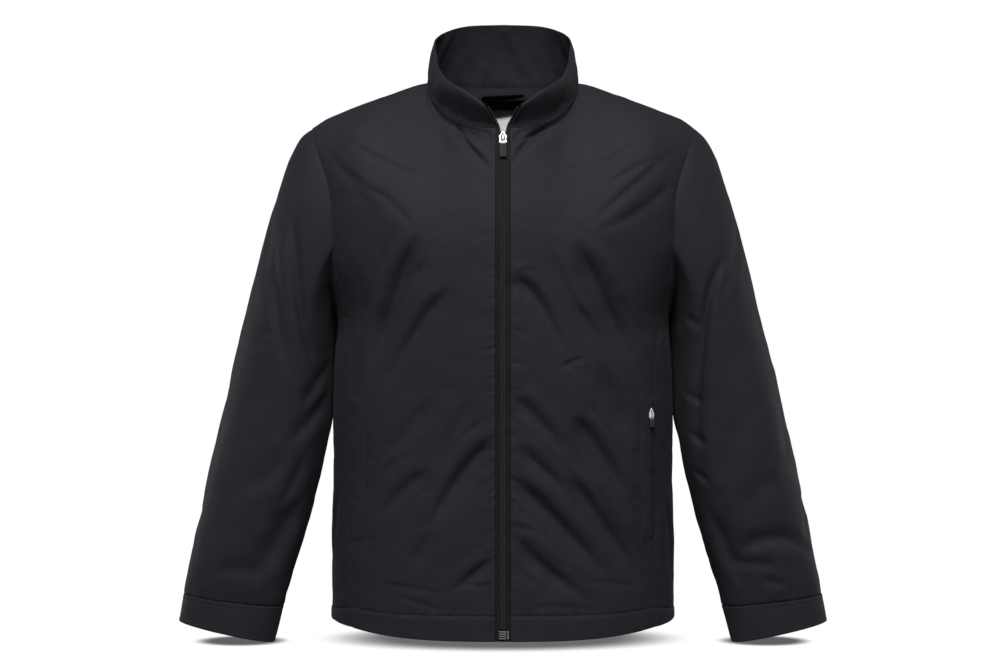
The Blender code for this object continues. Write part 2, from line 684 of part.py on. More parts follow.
def make_sleeves():
    """The two sleeves, each one tube from the armhole to the cuff, and their cuffs."""
    for side in ("right", "left"):
        points, direct = sleeve_grid(side)
        points, direct = points[:, ::-1], direct[:, ::-1]
        if side == "right":
            points, direct = mirrored(points), mirrored(direct)
        outer = drawn_in(points, closed=True)
        wall(f"sleeve_{side}", outer, outer - direct * CLOTH, BLACK_CLOTH, closed=True)
        angles = np.linspace(0, 2 * np.pi, points.shape[1], endpoint=False)
        rows = [[along(CUFF, k, t) for k in range(1, 7)] for t in (1.0, 0.5, 0.0)]
        cuff = np.array([tube_ring(row, angles) for row in rows])[:, ::-1]
        if side == "right":
            cuff = mirrored(cuff)
        out = normals(cuff, closed=True)
        outer = drawn_in(cuff, closed=True)
        wall(f"cuff_{side}", outer, outer - out * BAND, BLACK_CLOTH, closed=True)


def neck_ring():
    """The neck seam from the zip on the wearer's right, round the back, to the zip on the left, and each point's place round the collar."""
    front, back = half_panel("front")[-1], half_panel("back")[-1]
    front = front[: len(NECK_STEPS_FRONT)]
    back = back[: len(NECK_STEPS_BACK) + 1]
    left = np.concatenate([front, back[::-1]])
    share_front = 0.5 + 0.5 * np.array(NECK_STEPS_FRONT) / NECK_STEPS_FRONT[0]
    share_back = 0.5 - 0.5 * np.array([*NECK_STEPS_BACK, 0]) / 90
    share = np.concatenate([share_front, share_back[::-1]])
    right = left[:-1][::-1] * np.array([-1.0, 1.0, 1.0])
    return np.concatenate([left, right]), np.concatenate([share, -share[:-1][::-1]])


def collar_grid():
    """The collar's outer points: ruled from the neck seam to the top edge, with its middle bowed out."""
    base, share = neck_ring()
    place = np.abs(share)
    top = np.stack([along(COLLAR_TOP, k, place) for k in (1, 2, 3)], axis=-1)
    top[:, 0] *= np.where(share < 0, -1.0, 1.0)
    v = np.array(COLLAR_ROWS)[:, None, None]
    points = base + (top - base) * v
    level = unit(points * np.array([1.0, 1.0, 0.0]))
    return points + level * COLLAR_BOW * 4 * v * (1 - v)


def make_collar():
    """The stand collar, open at the front, where the zip carries on up its edges."""
    points = collar_grid()
    direct = normals(points)
    outer = drawn_in(points)
    outer[0] += np.array([0, 0, 0.00035])
    wall("collar", outer, outer - direct * BAND, BLACK_CLOTH)


# ---- the zip ------------------------------------------------------------------------------------


def centre_frame(z):
    """The point of the centre front at a height, and the directions up along the cloth and out from it."""
    half = half_panel("front")[:, 0]
    y = np.interp(z, half[:, 2], half[:, 1])
    slope = (np.interp(z + 0.004, half[:, 2], half[:, 1]) - np.interp(z - 0.004, half[:, 2], half[:, 1])) / 0.008
    up = unit(np.array([0.0, slope, 1.0]))
    return np.array([0.0, y, z]), up, np.cross([1.0, 0, 0], up)


def zip_stations(side):
    """For one half of the zip, as if on the wearer's left: its teeth's middle, the cloth's edge beside them, a point a little further in, the outward direction and how far under the cloth's face the tape lies, at stations up the front and then up the collar's edge."""
    front, direct = front_grid(side)
    if side == "right":
        front, direct = mirrored(front), mirrored(direct)
    collar = collar_grid()
    collar_direct = normals(collar)
    heights = front[:, 0, 2]
    stations = np.union1d(heights[2:], [ZIP_LOW_Z, *(row[0] for row in ZIP_PARTING if row[0] < heights[-1])])
    rows = []
    for z in stations:
        edge, beside, out = (
            np.array([np.interp(z, heights, grid[:, c, k]) for k in range(3)])
            for grid, c in ((front, 0), (front, 1), (direct, 0))
        )
        shift = float(along(ZIP_PARTING, 1, np.array(z)))
        under = BAND + 0.0002 if z > -0.0700 else CLOTH
        out = unit(collar_direct[0, 0] * 1.6 + unit(out)) if z == heights[-1] else out * [0, 1, 1]
        rows.append((np.array([shift, edge[1], z]), edge, edge + unit(beside - edge) * 0.005, unit(out), under))
    for v in (0.25, 0.5, 0.75, 0.97):
        edge, beside, out = (
            np.array([np.interp(v, COLLAR_ROWS, grid[:, c, k]) for k in range(3)])
            for grid, c in ((collar, 0), (collar, 1), (collar_direct, 0))
        )
        inwards = unit(beside - edge)
        rows.append((edge - inwards * 0.0052, edge, edge + inwards * 0.005, unit(out), BAND))
    return [np.array(column) for column in zip(*rows)]


def make_zip_tapes():
    """Each half of the zip: the raised row that carries the teeth, and the tape behind it that is sewn under the cloth's edge."""
    for side in ("right", "left"):
        teeth, edge, further, out, under = zip_stations(side)
        sunk = under[:, None] + 0.0005
        across = unit(edge - teeth)
        inner_side = teeth + across * 0.00018
        profile = [
            inner_side - out * 0.0004,
            inner_side + across * BEAD - out * 0.0004,
            inner_side + across * (BEAD + 0.0001) - out * sunk,
            further - out * sunk,
            further - out * (sunk + 0.0008),
            inner_side - out * (sunk + 0.0008),
        ]
        ring = np.array(profile).transpose(1, 0, 2)
        sign = np.array([-1.0 if side == "right" else 1.0, 1.0, 1.0])
        rows, count = ring.shape[:2]
        points = (ring * sign).reshape(-1, 3)
        faces = grid_quads(rows, count, True).tolist()
        faces += [tuple(range(count))[::-1], tuple(range((rows - 1) * count, rows * count))]
        if side == "right":
            faces = [face[::-1] for face in faces]
        mesh_object(f"zip_tape_{side}", points, faces, BLACK_TAPE, 25)


def frame_matrix(point, up, out):
    """The placement whose first axis runs across, second up along the cloth and third out from it."""
    across = np.cross(up, out)
    matrix = Matrix.Identity(4)
    for k, axis in enumerate((across, up, out)):
        for j in range(3):
            matrix[j][k] = axis[j]
    matrix.translation = Vector(point)
    return matrix


# The hinge of a slider's pull, in the slider's own frame at full size.
HINGE_UP, HINGE_OUT = 0.0005, 0.0024
MAIN_SLIDER_Z = -0.0827


def make_slider(name, place, size, behind, tab_half, tab_long):
    """A zip slider: its face plate with the bridge over it, and behind it the post and the back plate if the zip is an open one. On it hang the wire link and the moulded pull."""

    def scaled(solid):
        points, faces = solid
        return [(x * size, y * size, z * size) for x, y, z in points], faces

    solids = [prism(rounded(0.0042, 0.0055, -0.0065, 0.0075, 0.0018), 0.0, 0.0013)]
    if behind:
        solids.append(block(-0.0008, 0.0008, 0.0056, 0.0074, -0.0040, 0.0006))
        solids.append(prism(rounded(0.0036, 0.0045, -0.0055, 0.0075, 0.0015), -0.0048, -0.0036))
    solids.append(block(-0.0011, 0.0011, 0.0040, 0.0060, 0.0006, 0.0040))
    solids.append(block(-0.0011, 0.0011, -0.0050, -0.0030, 0.0006, 0.0040))
    solids.append(block(-0.0012, 0.0012, -0.0051, 0.0061, 0.0034, 0.0044))
    joined(f"{name}_slider", [scaled(s) for s in solids], place, SILVER)

    wire = 0.0006
    low, high = HINGE_OUT - wire, HINGE_OUT + wire
    link = [
        block(-0.0030, 0.0030, HINGE_UP - wire, HINGE_UP + wire, low, high),
        block(-0.0030, -0.0018, -0.0087, HINGE_UP + wire, low, high),
        block(0.0018, 0.0030, -0.0087, HINGE_UP + wire, low, high),
        block(-0.0030, 0.0030, -0.0087, -0.0075, low, high),
    ]
    # one outline with its window: the ring is a frame, so it is built as a closed loop of eight corners
    joined(f"{name}_link", [scaled(s) for s in link], place, SILVER)

    top = -0.0087 * size - SEAM
    tab = prism(rounded(tab_half * 0.82, tab_half, top - tab_long, top, tab_half * 0.45), low * size - 0.0004, high * size + 0.0004)
    pull = mesh_object(f"{name}_pull", *tab, BLACK_MOULDING)
    pull.matrix_world = place


def make_zip():
    """The zip down the front: tapes, slider with its pull, and the box that joins the two halves at the hem."""
    make_zip_tapes()
    point, up, out = centre_frame(MAIN_SLIDER_Z)
    make_slider("zip", frame_matrix(point, up, out), 1.0, True, 0.0047, 0.0165)
    point, up, out = centre_frame(-0.6950)
    box = prism(rounded(0.0040, 0.0040, -0.0058, 0.0058, 0.0008), -0.0016, 0.0012)
    made = mesh_object("zip_box", *box, SILVER)
    made.matrix_world = frame_matrix(point, up, out)


def make_pocket_slider():
    """The small slider at the top of the left pocket's zip, on the zip beside the welt."""
    points, direct = front_grid("left")
    _, zip_edge, far_edge = WELT_COLUMNS
    row = 2 + ROWS_LOW.index(WELT_ROWS[1])
    low, high = points[row - 1], points[row]
    t = 0.31
    base = (low * (1 - t) + high * t)[[zip_edge, far_edge]].mean(0)
    up = unit((high - low)[zip_edge])
    out = unit(direct[row, [zip_edge, far_edge]].mean(0))
    out = unit(out - up * (out @ up))
    lift = SEAM + 0.0010 + 0.0004
    make_slider("pocket", frame_matrix(base + out * lift, up, out), 0.62, False, 0.0030, 0.0100)


# ---- the labels ---------------------------------------------------------------------------------


def make_label(name, half_width, top_z, low_z, lift, thick, spec):
    """A woven label that hangs from the back neck seam against the inside of the back."""
    back = half_panel("back")
    middle = back[:, 0]
    order = np.argsort(middle[:, 2])
    rows = np.linspace(low_z, top_z, 4)
    y = np.interp(rows, middle[order, 2], middle[order, 1])
    slope = np.gradient(y, rows)
    inward = unit(np.stack([np.zeros(4), -np.ones(4), slope], axis=-1))
    xs = np.linspace(half_width, -half_width, 5)
    spread = (np.abs(xs) / 0.11) ** 2 * 0.010
    base = np.stack(
        [np.broadcast_to(xs, (4, 5)), y[:, None] - spread[None, :], np.broadcast_to(rows[:, None], (4, 5))], axis=-1
    )
    inward = inward[:, None, :]
    outer = base + inward * (CLOTH + lift)
    wall(name, outer, outer + inward * thick, spec)


def make_labels():
    """The black main label, bare, and the white tab that hangs from behind it."""
    make_label("size_tab", 0.014, -0.024, -0.058, 0.0018, 0.0008, LABEL_WHITE)
    make_label("neck_label", 0.028, -0.004, -0.034, 0.0032, 0.0010, LABEL_BLACK)


# ---- the jacket ---------------------------------------------------------------------------------


def main():
    """Clears the scene and makes every piece."""
    for old in list(bpy.data.objects):
        bpy.data.objects.remove(old)
    make_fronts()
    make_sides()
    make_back()
    make_sleeves()
    make_collar()
    make_zip()
    make_pocket_slider()
    make_labels()


main()
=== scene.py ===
"""The look of a windbreaker jacket, filled out with nobody in it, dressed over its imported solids.

Metres, +Z up. The front faces -Y and the wearer's right is -X; the origin is the middle of the neck's
base. Each piece of cloth is a fine grid on the same form as its solid, with its folds, the gathers
beside its seams and its own fine crumple pressed in, closed into a thin shell whose edges are round.
Stitches and zip teeth are small pieces laid on points of those grids.
"""

import math

import bpy
import numpy as np
from mathutils import Matrix


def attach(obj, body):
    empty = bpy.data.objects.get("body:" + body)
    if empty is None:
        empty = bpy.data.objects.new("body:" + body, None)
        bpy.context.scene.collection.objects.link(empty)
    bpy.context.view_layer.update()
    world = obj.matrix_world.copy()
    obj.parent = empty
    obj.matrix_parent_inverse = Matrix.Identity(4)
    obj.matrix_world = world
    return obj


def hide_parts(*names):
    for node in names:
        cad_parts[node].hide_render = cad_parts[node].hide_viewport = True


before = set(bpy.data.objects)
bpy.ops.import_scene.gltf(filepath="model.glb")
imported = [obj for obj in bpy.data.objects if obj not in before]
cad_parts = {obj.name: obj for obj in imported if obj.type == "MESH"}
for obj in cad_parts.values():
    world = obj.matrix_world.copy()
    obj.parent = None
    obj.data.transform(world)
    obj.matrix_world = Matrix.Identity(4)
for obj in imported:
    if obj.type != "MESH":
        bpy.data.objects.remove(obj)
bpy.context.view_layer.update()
ROOT = "jacket"

# ---- camera and light ---------------------------------------------------------------------------

CAMERA_AT = (0.0013, -2.4, -0.328)
CAMERA_LENS = 65.93
SENSOR = 36.0
FLOOR_Z = -0.7222
FLOOR_BOUNCE = 0.24
SURROUND = 0.018
# the soft shadow painted on the floor's glow: middle x and y, half its length and depth, and how dark
SHADE = (
    (0.0, 0.010, 0.250, 0.115, 0.58),
    (-0.338, -0.012, 0.066, 0.046, 0.62),
    (0.338, -0.012, 0.066, 0.046, 0.62),
)
# name, place, what it points at, width and height, watts
LIGHTS = (
    ("key", (-0.2, -4.2, 5.15), (0.0, 0.0, -0.35), (3.8, 2.3), 645.0),
    ("fill", (0.0, -2.6, -0.3), (0.0, 0.0, -0.35), (2.0, 2.0), 6.0),
    ("rim_right", (-2.1, 0.8, -0.30), (-0.3, 0.0, -0.50), (1.0, 0.7), 10.0),
    ("rim_left", (2.1, 0.8, -0.30), (0.3, 0.0, -0.50), (1.0, 0.7), 10.0),
)

# ---- the form: the sizes of the solids, and of what is laid on them -----------------------------

CLOTH = 0.0011  # one layer of the shell cloth, as it is drawn
DOUBLE = 0.0021  # two layers, at the hem, collar and cuffs
ROUND = 2.3  # the power of the body's ring, where 2 is an ellipse
# the hem's height at the sides, and how far it dips at the middle in front and behind
HEM_Z, HEM_DIP, HEM_DIP_BACK = -0.687, 0.016, 0.007
# the hem's stitching above its edge: at the zip, at the seams and at the sides' middle
HEM_BAND = (0.0316, 0.025, 0.014)
# the neck's half width, its depth in front and behind, how far it drops and rises there, and its height
NECK_HALF, NECK_FRONT, NECK_BACK = 0.0975, 0.103, 0.075
NECK_DROP, NECK_RISE, NECK_Z = 0.0698, 0.004, 0.001
NECK_ANGLE = math.radians(84.6)  # how far round its front quarter the neck seam runs, to the zip
ZIP_HALF = 0.0095  # from the middle to a front's edge
TIP_X, TIP_Z = 0.2470, -0.0585  # the shoulder's tip
JUNCTION_Z, ARMPIT_Z = -0.216, -0.300  # the ends and the lowest point of a side panel's upper edge
SIDE_X = 0.1895  # the fronts' outer edge at the hem
# the welts: their ends, inner edge and outer edges
WELT_Z, WELT_INNER_X, WELT_OUTER_X = (-0.5935, -0.3965), 0.171, {"right": 0.1889, "left": 0.1843}
WELT_STITCH, POCKET_TAPE_X = 0.0030, 0.1885  # stitching from the inner edge; the pocket tape's outer edge
WELT_SEAM_X, WELT_PULL_Z = 0.1703, (-0.60, -0.39)  # the seam beside the welt, and where it creases the front
COLLAR_HALF_LENGTH = 0.27  # round it from the centre back to the zip
TEETH_TO_CLOTH = 0.0052  # from the line of the zip's teeth to the cloth's edge
ZIP_STITCH, CUFF_STITCH, COLLAR_STITCH = 0.006, 0.0065, 0.006  # the stitching's distance from the edge
SLEEVE_LENGTH, UNDER_SEAM = 0.62, 196  # in metres along it, and the angle of its seam in degrees
# where the sleeves lie against the body's sides: how far out, half the gap between, and its lower end
TOUCH_OUT, TOUCH_GAP, TOUCH_LOW_Z = 0.0008, 0.0002, (-0.464, -0.424)

# height, half width, depth to the front, depth to the back
TORSO = (
    (-0.720, 0.2225, 0.138, 0.132),
    (-0.650, 0.2215, 0.141, 0.131),
    (-0.550, 0.2200, 0.145, 0.131),
    (-0.430, 0.2195, 0.148, 0.134),
    (-0.360, 0.2178, 0.150, 0.139),
    (-0.300, 0.2160, 0.150, 0.144),
    (-0.280, 0.2225, 0.150, 0.145),
    (-0.250, 0.2350, 0.149, 0.147),
    (-0.216, 0.2470, 0.148, 0.148),
    (-0.177, 0.2525, 0.146, 0.149),
    (-0.138, 0.2560, 0.143, 0.148),
    (-0.100, 0.2700, 0.139, 0.145),
    (-0.058, 0.2950, 0.136, 0.140),
    (0.010, 0.3200, 0.133, 0.135),
)

# height, front panel's outer edge, back panel's outer edge
EDGES = (
    (-0.720, 0.1905, 0.2030),
    (-0.600, 0.1895, 0.2010),
    (-0.400, 0.1895, 0.2000),
    (-0.345, 0.1930, 0.2015),
    (-0.280, 0.2050, 0.2075),
    (-0.216, 0.2125, 0.2115),
    (-0.177, 0.2143, 0.2125),
    (-0.138, 0.2202, 0.2170),
    (-0.100, 0.2330, 0.2285),
    (-0.075, 0.2425, 0.2400),
    (-0.0585, 0.2470, 0.2470),
)

# distance from the middle, height of the shoulder line
RIDGE = (
    (0.0000, 0.0300),
    (0.0600, 0.0170),
    (0.0975, 0.0010),
    (0.1130, -0.0027),
    (0.1330, -0.0094),
    (0.1525, -0.0168),
    (0.1730, -0.0246),
    (0.1930, -0.0324),
    (0.2130, -0.0402),
    (0.2314, -0.0480),
    (0.2470, -0.0585),
)

# the same line, evened out, for the cloth below it
FAIR = (
    (0.0000, 0.0345),
    (0.0500, 0.0215),
    (0.0975, 0.0036),
    (0.1400, -0.0122),
    (0.1800, -0.0272),
    (0.2134, -0.0404),
    (0.2314, -0.0484),
    (0.2470, -0.0570),
)

# place along the sleeve, outer x and z, inner x and z, half its depth, y of its middle
SLEEVE = (
    (0.00, 0.2470, -0.0585, 0.2160, -0.3000, 0.0870, 0.002),
    (0.05, 0.2615, -0.0725, 0.2175, -0.3060, 0.0875, 0.001),
    (0.11, 0.2756, -0.0992, 0.2188, -0.3160, 0.0875, 0.000),
    (0.18, 0.2886, -0.1382, 0.2198, -0.3290, 0.0865, -0.001),
    (0.25, 0.3003, -0.1772, 0.2206, -0.3440, 0.0850, -0.002),
    (0.33, 0.3146, -0.2292, 0.2214, -0.3640, 0.0820, -0.003),
    (0.41, 0.3276, -0.2812, 0.2221, -0.3880, 0.0780, -0.005),
    (0.49, 0.3406, -0.3332, 0.2226, -0.4150, 0.0735, -0.007),
    (0.58, 0.3540, -0.3900, 0.2252, -0.4500, 0.0685, -0.010),
    (0.68, 0.3680, -0.4530, 0.2335, -0.4950, 0.0635, -0.013),
    (0.78, 0.3815, -0.5152, 0.2445, -0.5420, 0.0570, -0.016),
    (0.87, 0.3945, -0.5780, 0.2592, -0.5950, 0.0490, -0.019),
    (0.96, 0.4070, -0.6400, 0.2760, -0.6500, 0.0390, -0.022),
    (1.00, 0.4098, -0.6586, 0.2826, -0.6745, 0.0345, -0.023),
)

CUFF = (
    (0.0, 0.4106, -0.6590, 0.2818, -0.6750, 0.0355, -0.023),
    (1.0, 0.4171, -0.6934, 0.2939, -0.7212, 0.0320, -0.024),
)

# place round the collar from the centre back, then x, y and z of its top edge
COLLAR_TOP = (
    (0.000, 0.0000, 0.0620, 0.0870),
    (0.167, 0.0470, 0.0550, 0.0840),
    (0.278, 0.0670, 0.0430, 0.0780),
    (0.389, 0.0820, 0.0230, 0.0680),
    (0.500, 0.0885, 0.0000, 0.0545),
    (0.589, 0.0863, -0.0255, 0.0332),
    (0.677, 0.0798, -0.0495, 0.0122),
    (0.766, 0.0710, -0.0715, -0.0033),
    (0.840, 0.0605, -0.0885, -0.0124),
    (0.900, 0.0481, -0.1010, -0.0205),
    (0.950, 0.0357, -0.1070, -0.0293),
    (1.000, 0.0223, -0.1100, -0.0405),
)
COLLAR_BOW, COLLAR_LEAN = 0.0025, 0.0072  # how far it bows out at the back, and near its top at the front

# soft folds across the collar: place round it in metres from the centre back, lean, half width, depth
COLLAR_FOLDS = (
    (-0.105, 0.5, 0.007, 0.0016),
    (-0.060, -0.7, 0.006, 0.0010),
    (-0.022, 0.4, 0.008, 0.0009),
    (0.030, -0.5, 0.007, 0.0011),
    (0.072, 0.8, 0.006, 0.0012),
    (0.112, -0.4, 0.007, 0.0015),
    (0.165, 0.9, 0.006, 0.0013),
    (0.205, 0.6, 0.008, 0.0015),
    (-0.172, -0.9, 0.006, 0.0012),
    (-0.210, -0.5, 0.008, 0.0016),
)

ZIP_PARTING = (
    (-0.0820, 0.0000),
    (-0.0790, 0.0013),
    (-0.0760, 0.0025),
    (-0.0670, 0.0045),
    (-0.0540, 0.0098),
    (-0.0440, 0.0158),
)
ZIP_LOW_Z = -0.6885
# height and depth of the main label's middle, from the seam down
LABEL_SIDE = (
    (0.0025, 0.0722),
    (-0.0020, 0.0700),
    (-0.0066, 0.0668),
    (-0.0100, 0.0700),
    (-0.0140, 0.0765),
    (-0.0180, 0.0782),
    (-0.0240, 0.0790),
    (-0.0310, 0.0800),
)
# height and depth of the tab's middle, from its top down
TAB_SIDE = ((-0.0220, 0.0812), (-0.0400, 0.0845), (-0.0600, 0.0875))
TAPE_LOW_Z = -0.7028  # the tapes go on below the teeth, nearly to the hem

# ---- folds --------------------------------------------------------------------------------------

# Each fold is a curve through three points, with its half width and its depth.
# Fronts: side, the view it was marked on, its three marks there, half width, depth, and how far the
# line is moved down across itself, as a share of its half width.
FRONT_MARKS = (
    ("right", "chest", ((-5, 255), (90, 370), (250, 490)), 0.0038, 0.0014, 0.55),
    ("right", "chest", ((200, 450), (300, 520), (400, 640)), 0.0036, 0.0011, 0.55),
    ("right", "chest", ((95, 225), (270, 335), (480, 412)), 0.0038, 0.0013, 0.55),
    ("right", "chest", ((210, 115), (310, 150), (420, 205)), 0.0036, 0.0008, 0.55),
    ("right", "chest", ((40, 330), (120, 420), (215, 560)), 0.0060, 0.0012, 0.55),
    ("right", "chest", ((378, 690), (275, 940), (165, 1290)), 0.0088, 0.0078, 0.55),
    ("right", "chest", ((525, 905), (405, 1050), (255, 1300)), 0.0078, 0.0048, 0.55),
    ("right", "chest", ((330, 900), (380, 830), (455, 800)), 0.0060, 0.0010, 0.55),
    ("right", "chest", ((120, 820), (140, 950), (120, 1100)), 0.0060, 0.0012, 0.55),
    ("right", "low", ((745, 300), (600, 440), (440, 700)), 0.0082, 0.0050, 0.55),
    ("right", "low", ((440, 440), (340, 520), (245, 620)), 0.0080, 0.0030, 0.55),
    ("right", "low", ((640, 120), (560, 260), (480, 420)), 0.0080, 0.0016, 0.55),
    ("right", "low", ((470, 130), (360, 250), (235, 390)), 0.0085, 0.0018, 0.55),
    ("right", "low", ((745, 815), (660, 880), (560, 960)), 0.0058, 0.0030, 0.55),
    ("right", "low", ((450, 720), (400, 800), (370, 880)), 0.0070, 0.0018, 0.55),
    ("right", "low", ((240, 950), (380, 960), (540, 985)), 0.0028, 0.0008, 0.55),
    ("right", "low", ((330, 1000), (430, 1030), (520, 1060)), 0.0030, 0.0008, 0.55),
    ("right", "low", ((740, 925), (690, 945), (610, 935)), 0.0026, 0.0009, 0.55),
    ("right", "neck", ((448, 350), (525, 495), (668, 655)), 0.0034, 0.0040, 0.3),
    ("right", "neck", ((470, 385), (560, 400), (650, 440)), 0.0022, 0.0014, 0.3),
    ("right", "neck", ((500, 420), (570, 450), (650, 500)), 0.0022, 0.0014, 0.3),
    ("right", "neck", ((540, 475), (600, 505), (660, 545)), 0.0022, 0.0012, 0.3),
    ("right", "neck", ((200, 150), (240, 185), (270, 250)), 0.0030, 0.0008, 0.3),
    ("left", "chest", ((1560, 262), (1370, 420), (1170, 600)), 0.0038, 0.0014, 0.55),
    ("left", "chest", ((1400, 225), (1230, 330), (1060, 430)), 0.0038, 0.0012, 0.55),
    ("left", "chest", ((1500, 300), (1380, 350), (1180, 470)), 0.0034, 0.0009, 0.55),
    ("left", "chest", ((1530, 400), (1400, 530), (1190, 640)), 0.0058, 0.0018, 0.55),
    ("left", "chest", ((1180, 330), (1110, 350), (1050, 362)), 0.0030, 0.0010, 0.55),
    ("left", "chest", ((1150, 350), (1110, 375), (1070, 380)), 0.0024, 0.0007, 0.55),
    ("left", "chest", ((800, 945), (895, 885), (1065, 1170)), 0.0078, 0.0050, 0.55),
    ("left", "chest", ((1132, 715), (1245, 930), (1405, 1270)), 0.0100, 0.0084, 0.55),
    ("left", "chest", ((1085, 960), (1190, 1060), (1320, 1240)), 0.0078, 0.0020, 0.55),
    ("left", "chest", ((1040, 1235), (1090, 1215), (1150, 1200)), 0.0026, 0.0010, 0.2),
    ("left", "chest", ((1040, 1215), (1080, 1240), (1110, 1262)), 0.0026, 0.0010, 0.2),
    ("left", "low", ((815, 110), (920, 190), (1050, 350)), 0.0072, 0.0036, 0.55),
    ("left", "low", ((1110, 215), (1210, 340), (1345, 560)), 0.0088, 0.0058, 0.55),
    ("left", "low", ((870, 325), (960, 420), (1070, 520)), 0.0072, 0.0028, 0.55),
    ("left", "low", ((825, 470), (1010, 640), (1260, 910)), 0.0090, 0.0060, 0.55),
    ("left", "low", ((1095, 475), (1220, 650), (1385, 900)), 0.0090, 0.0066, 0.55),
    ("left", "low", ((845, 720), (960, 850), (1160, 1000)), 0.0082, 0.0044, 0.55),
    ("left", "low", ((1225, -10), (1290, 150), (1350, 300)), 0.0080, 0.0036, 0.55),
    ("left", "low", ((815, 672), (880, 690), (960, 730)), 0.0036, 0.0009, 0.55),
    ("left", "low", ((1150, 930), (1250, 938), (1370, 965)), 0.0040, 0.0008, 0.55),
    ("left", "low", ((890, 1052), (1020, 1036), (1180, 1060)), 0.0030, 0.0008, 0.55),
    ("left", "neck", ((1062, 350), (900, 470), (795, 622)), 0.0034, 0.0036, 0.3),
    ("left", "neck", ((980, 372), (900, 400), (820, 452)), 0.0022, 0.0014, 0.3),
    ("left", "neck", ((950, 420), (890, 450), (815, 505)), 0.0022, 0.0014, 0.3),
    ("left", "neck", ((900, 480), (860, 510), (810, 550)), 0.0022, 0.0012, 0.3),
    ("left", "neck", ((1220, 160), (1250, 200), (1310, 240)), 0.0030, 0.0008, 0.3),
)
# each view's scale over the whole front's, and the place of its corner there
MARK_VIEWS = {"chest": (4.36, 324, 82), "low": (4.36, 324, 368), "neck": (6.0, 380, 60)}
MARK_STEP = {"chest": 0.001224, "low": 0.001224, "neck": 0.001243}  # metres to one step of the whole front
MARK_MIDDLE, MARK_LEVEL, MARK_LEVEL_Z = 503, 336, -0.328  # the middle line, and a level whose height is known


def front_fold(side, view, marks, width, deep, across):
    """A fold marked on a view, as its side, x outwards from the middle and z of its points, width and
    depth."""
    scale, corner_x, corner_y = MARK_VIEWS[view]
    step = MARK_STEP[view]
    points = []
    for mark_x, mark_y in marks:
        place_x, place_y = mark_x / scale + corner_x, mark_y / scale + corner_y
        outwards = MARK_MIDDLE - place_x if side == "right" else place_x - MARK_MIDDLE
        points.append((outwards * step, MARK_LEVEL_Z + (MARK_LEVEL - place_y) * step))
    normal_x, normal_z = points[-1][1] - points[0][1], points[0][0] - points[-1][0]
    length = math.hypot(normal_x, normal_z)
    length = -length if normal_z > 0 else length
    shift = across * width
    line = []
    for x, z in points:
        line += [round(x + normal_x / length * shift, 3), round(z + normal_z / length * shift, 3)]
    return (side, *line, width, deep)


FRONT_FOLDS = [front_fold(*row) for row in FRONT_MARKS]

# The back: x to the wearer's left and z of the three points.
BACK_FOLDS = (
    (-0.230, -0.110, -0.170, -0.142, -0.110, -0.160, 0.0090, 0.0026),
    (-0.215, -0.150, -0.160, -0.180, -0.105, -0.192, 0.0080, 0.0020),
    (0.228, -0.104, 0.165, -0.140, 0.100, -0.165, 0.0090, 0.0026),
    (0.212, -0.160, 0.160, -0.192, 0.112, -0.204, 0.0080, 0.0020),
    (-0.050, -0.290, -0.110, -0.345, -0.170, -0.440, 0.0120, 0.0042),
    (-0.020, -0.380, -0.075, -0.425, -0.125, -0.500, 0.0100, 0.0032),
    (-0.010, -0.480, -0.070, -0.530, -0.135, -0.610, 0.0110, 0.0046),
    (-0.095, -0.510, -0.140, -0.550, -0.178, -0.610, 0.0090, 0.0030),
    (0.040, -0.300, 0.105, -0.350, 0.165, -0.420, 0.0120, 0.0040),
    (0.022, -0.420, 0.075, -0.455, 0.130, -0.520, 0.0100, 0.0034),
    (0.030, -0.510, 0.085, -0.560, 0.140, -0.625, 0.0110, 0.0044),
    (0.100, -0.470, 0.145, -0.515, 0.182, -0.570, 0.0090, 0.0028),
    (-0.050, -0.030, -0.030, -0.060, -0.004, -0.078, 0.0060, 0.0018),
    (0.056, -0.028, 0.038, -0.056, 0.012, -0.078, 0.0060, 0.0018),
    (-0.150, -0.220, -0.130, -0.270, -0.150, -0.330, 0.0090, 0.0020),
    (0.140, -0.230, 0.128, -0.280, 0.146, -0.340, 0.0090, 0.0020),
)

# The side panels: side, then y and z of the three points.
SIDE_FOLDS = (
    ("right", -0.060, -0.520, -0.030, -0.590, -0.022, -0.670, 0.0060, 0.0026),
    ("right", -0.020, -0.480, 0.010, -0.560, 0.020, -0.650, 0.0070, 0.0026),
    ("right", 0.060, -0.500, 0.045, -0.580, 0.050, -0.660, 0.0070, 0.0024),
    ("right", 0.040, -0.340, 0.010, -0.400, 0.000, -0.470, 0.0080, 0.0022),
    ("left", -0.064, -0.530, -0.040, -0.600, -0.030, -0.672, 0.0060, 0.0026),
    ("left", -0.030, -0.470, 0.000, -0.550, 0.012, -0.640, 0.0070, 0.0026),
    ("left", 0.060, -0.490, 0.040, -0.570, 0.048, -0.660, 0.0070, 0.0024),
    ("left", -0.040, -0.340, -0.010, -0.410, 0.000, -0.480, 0.0080, 0.0022),
)

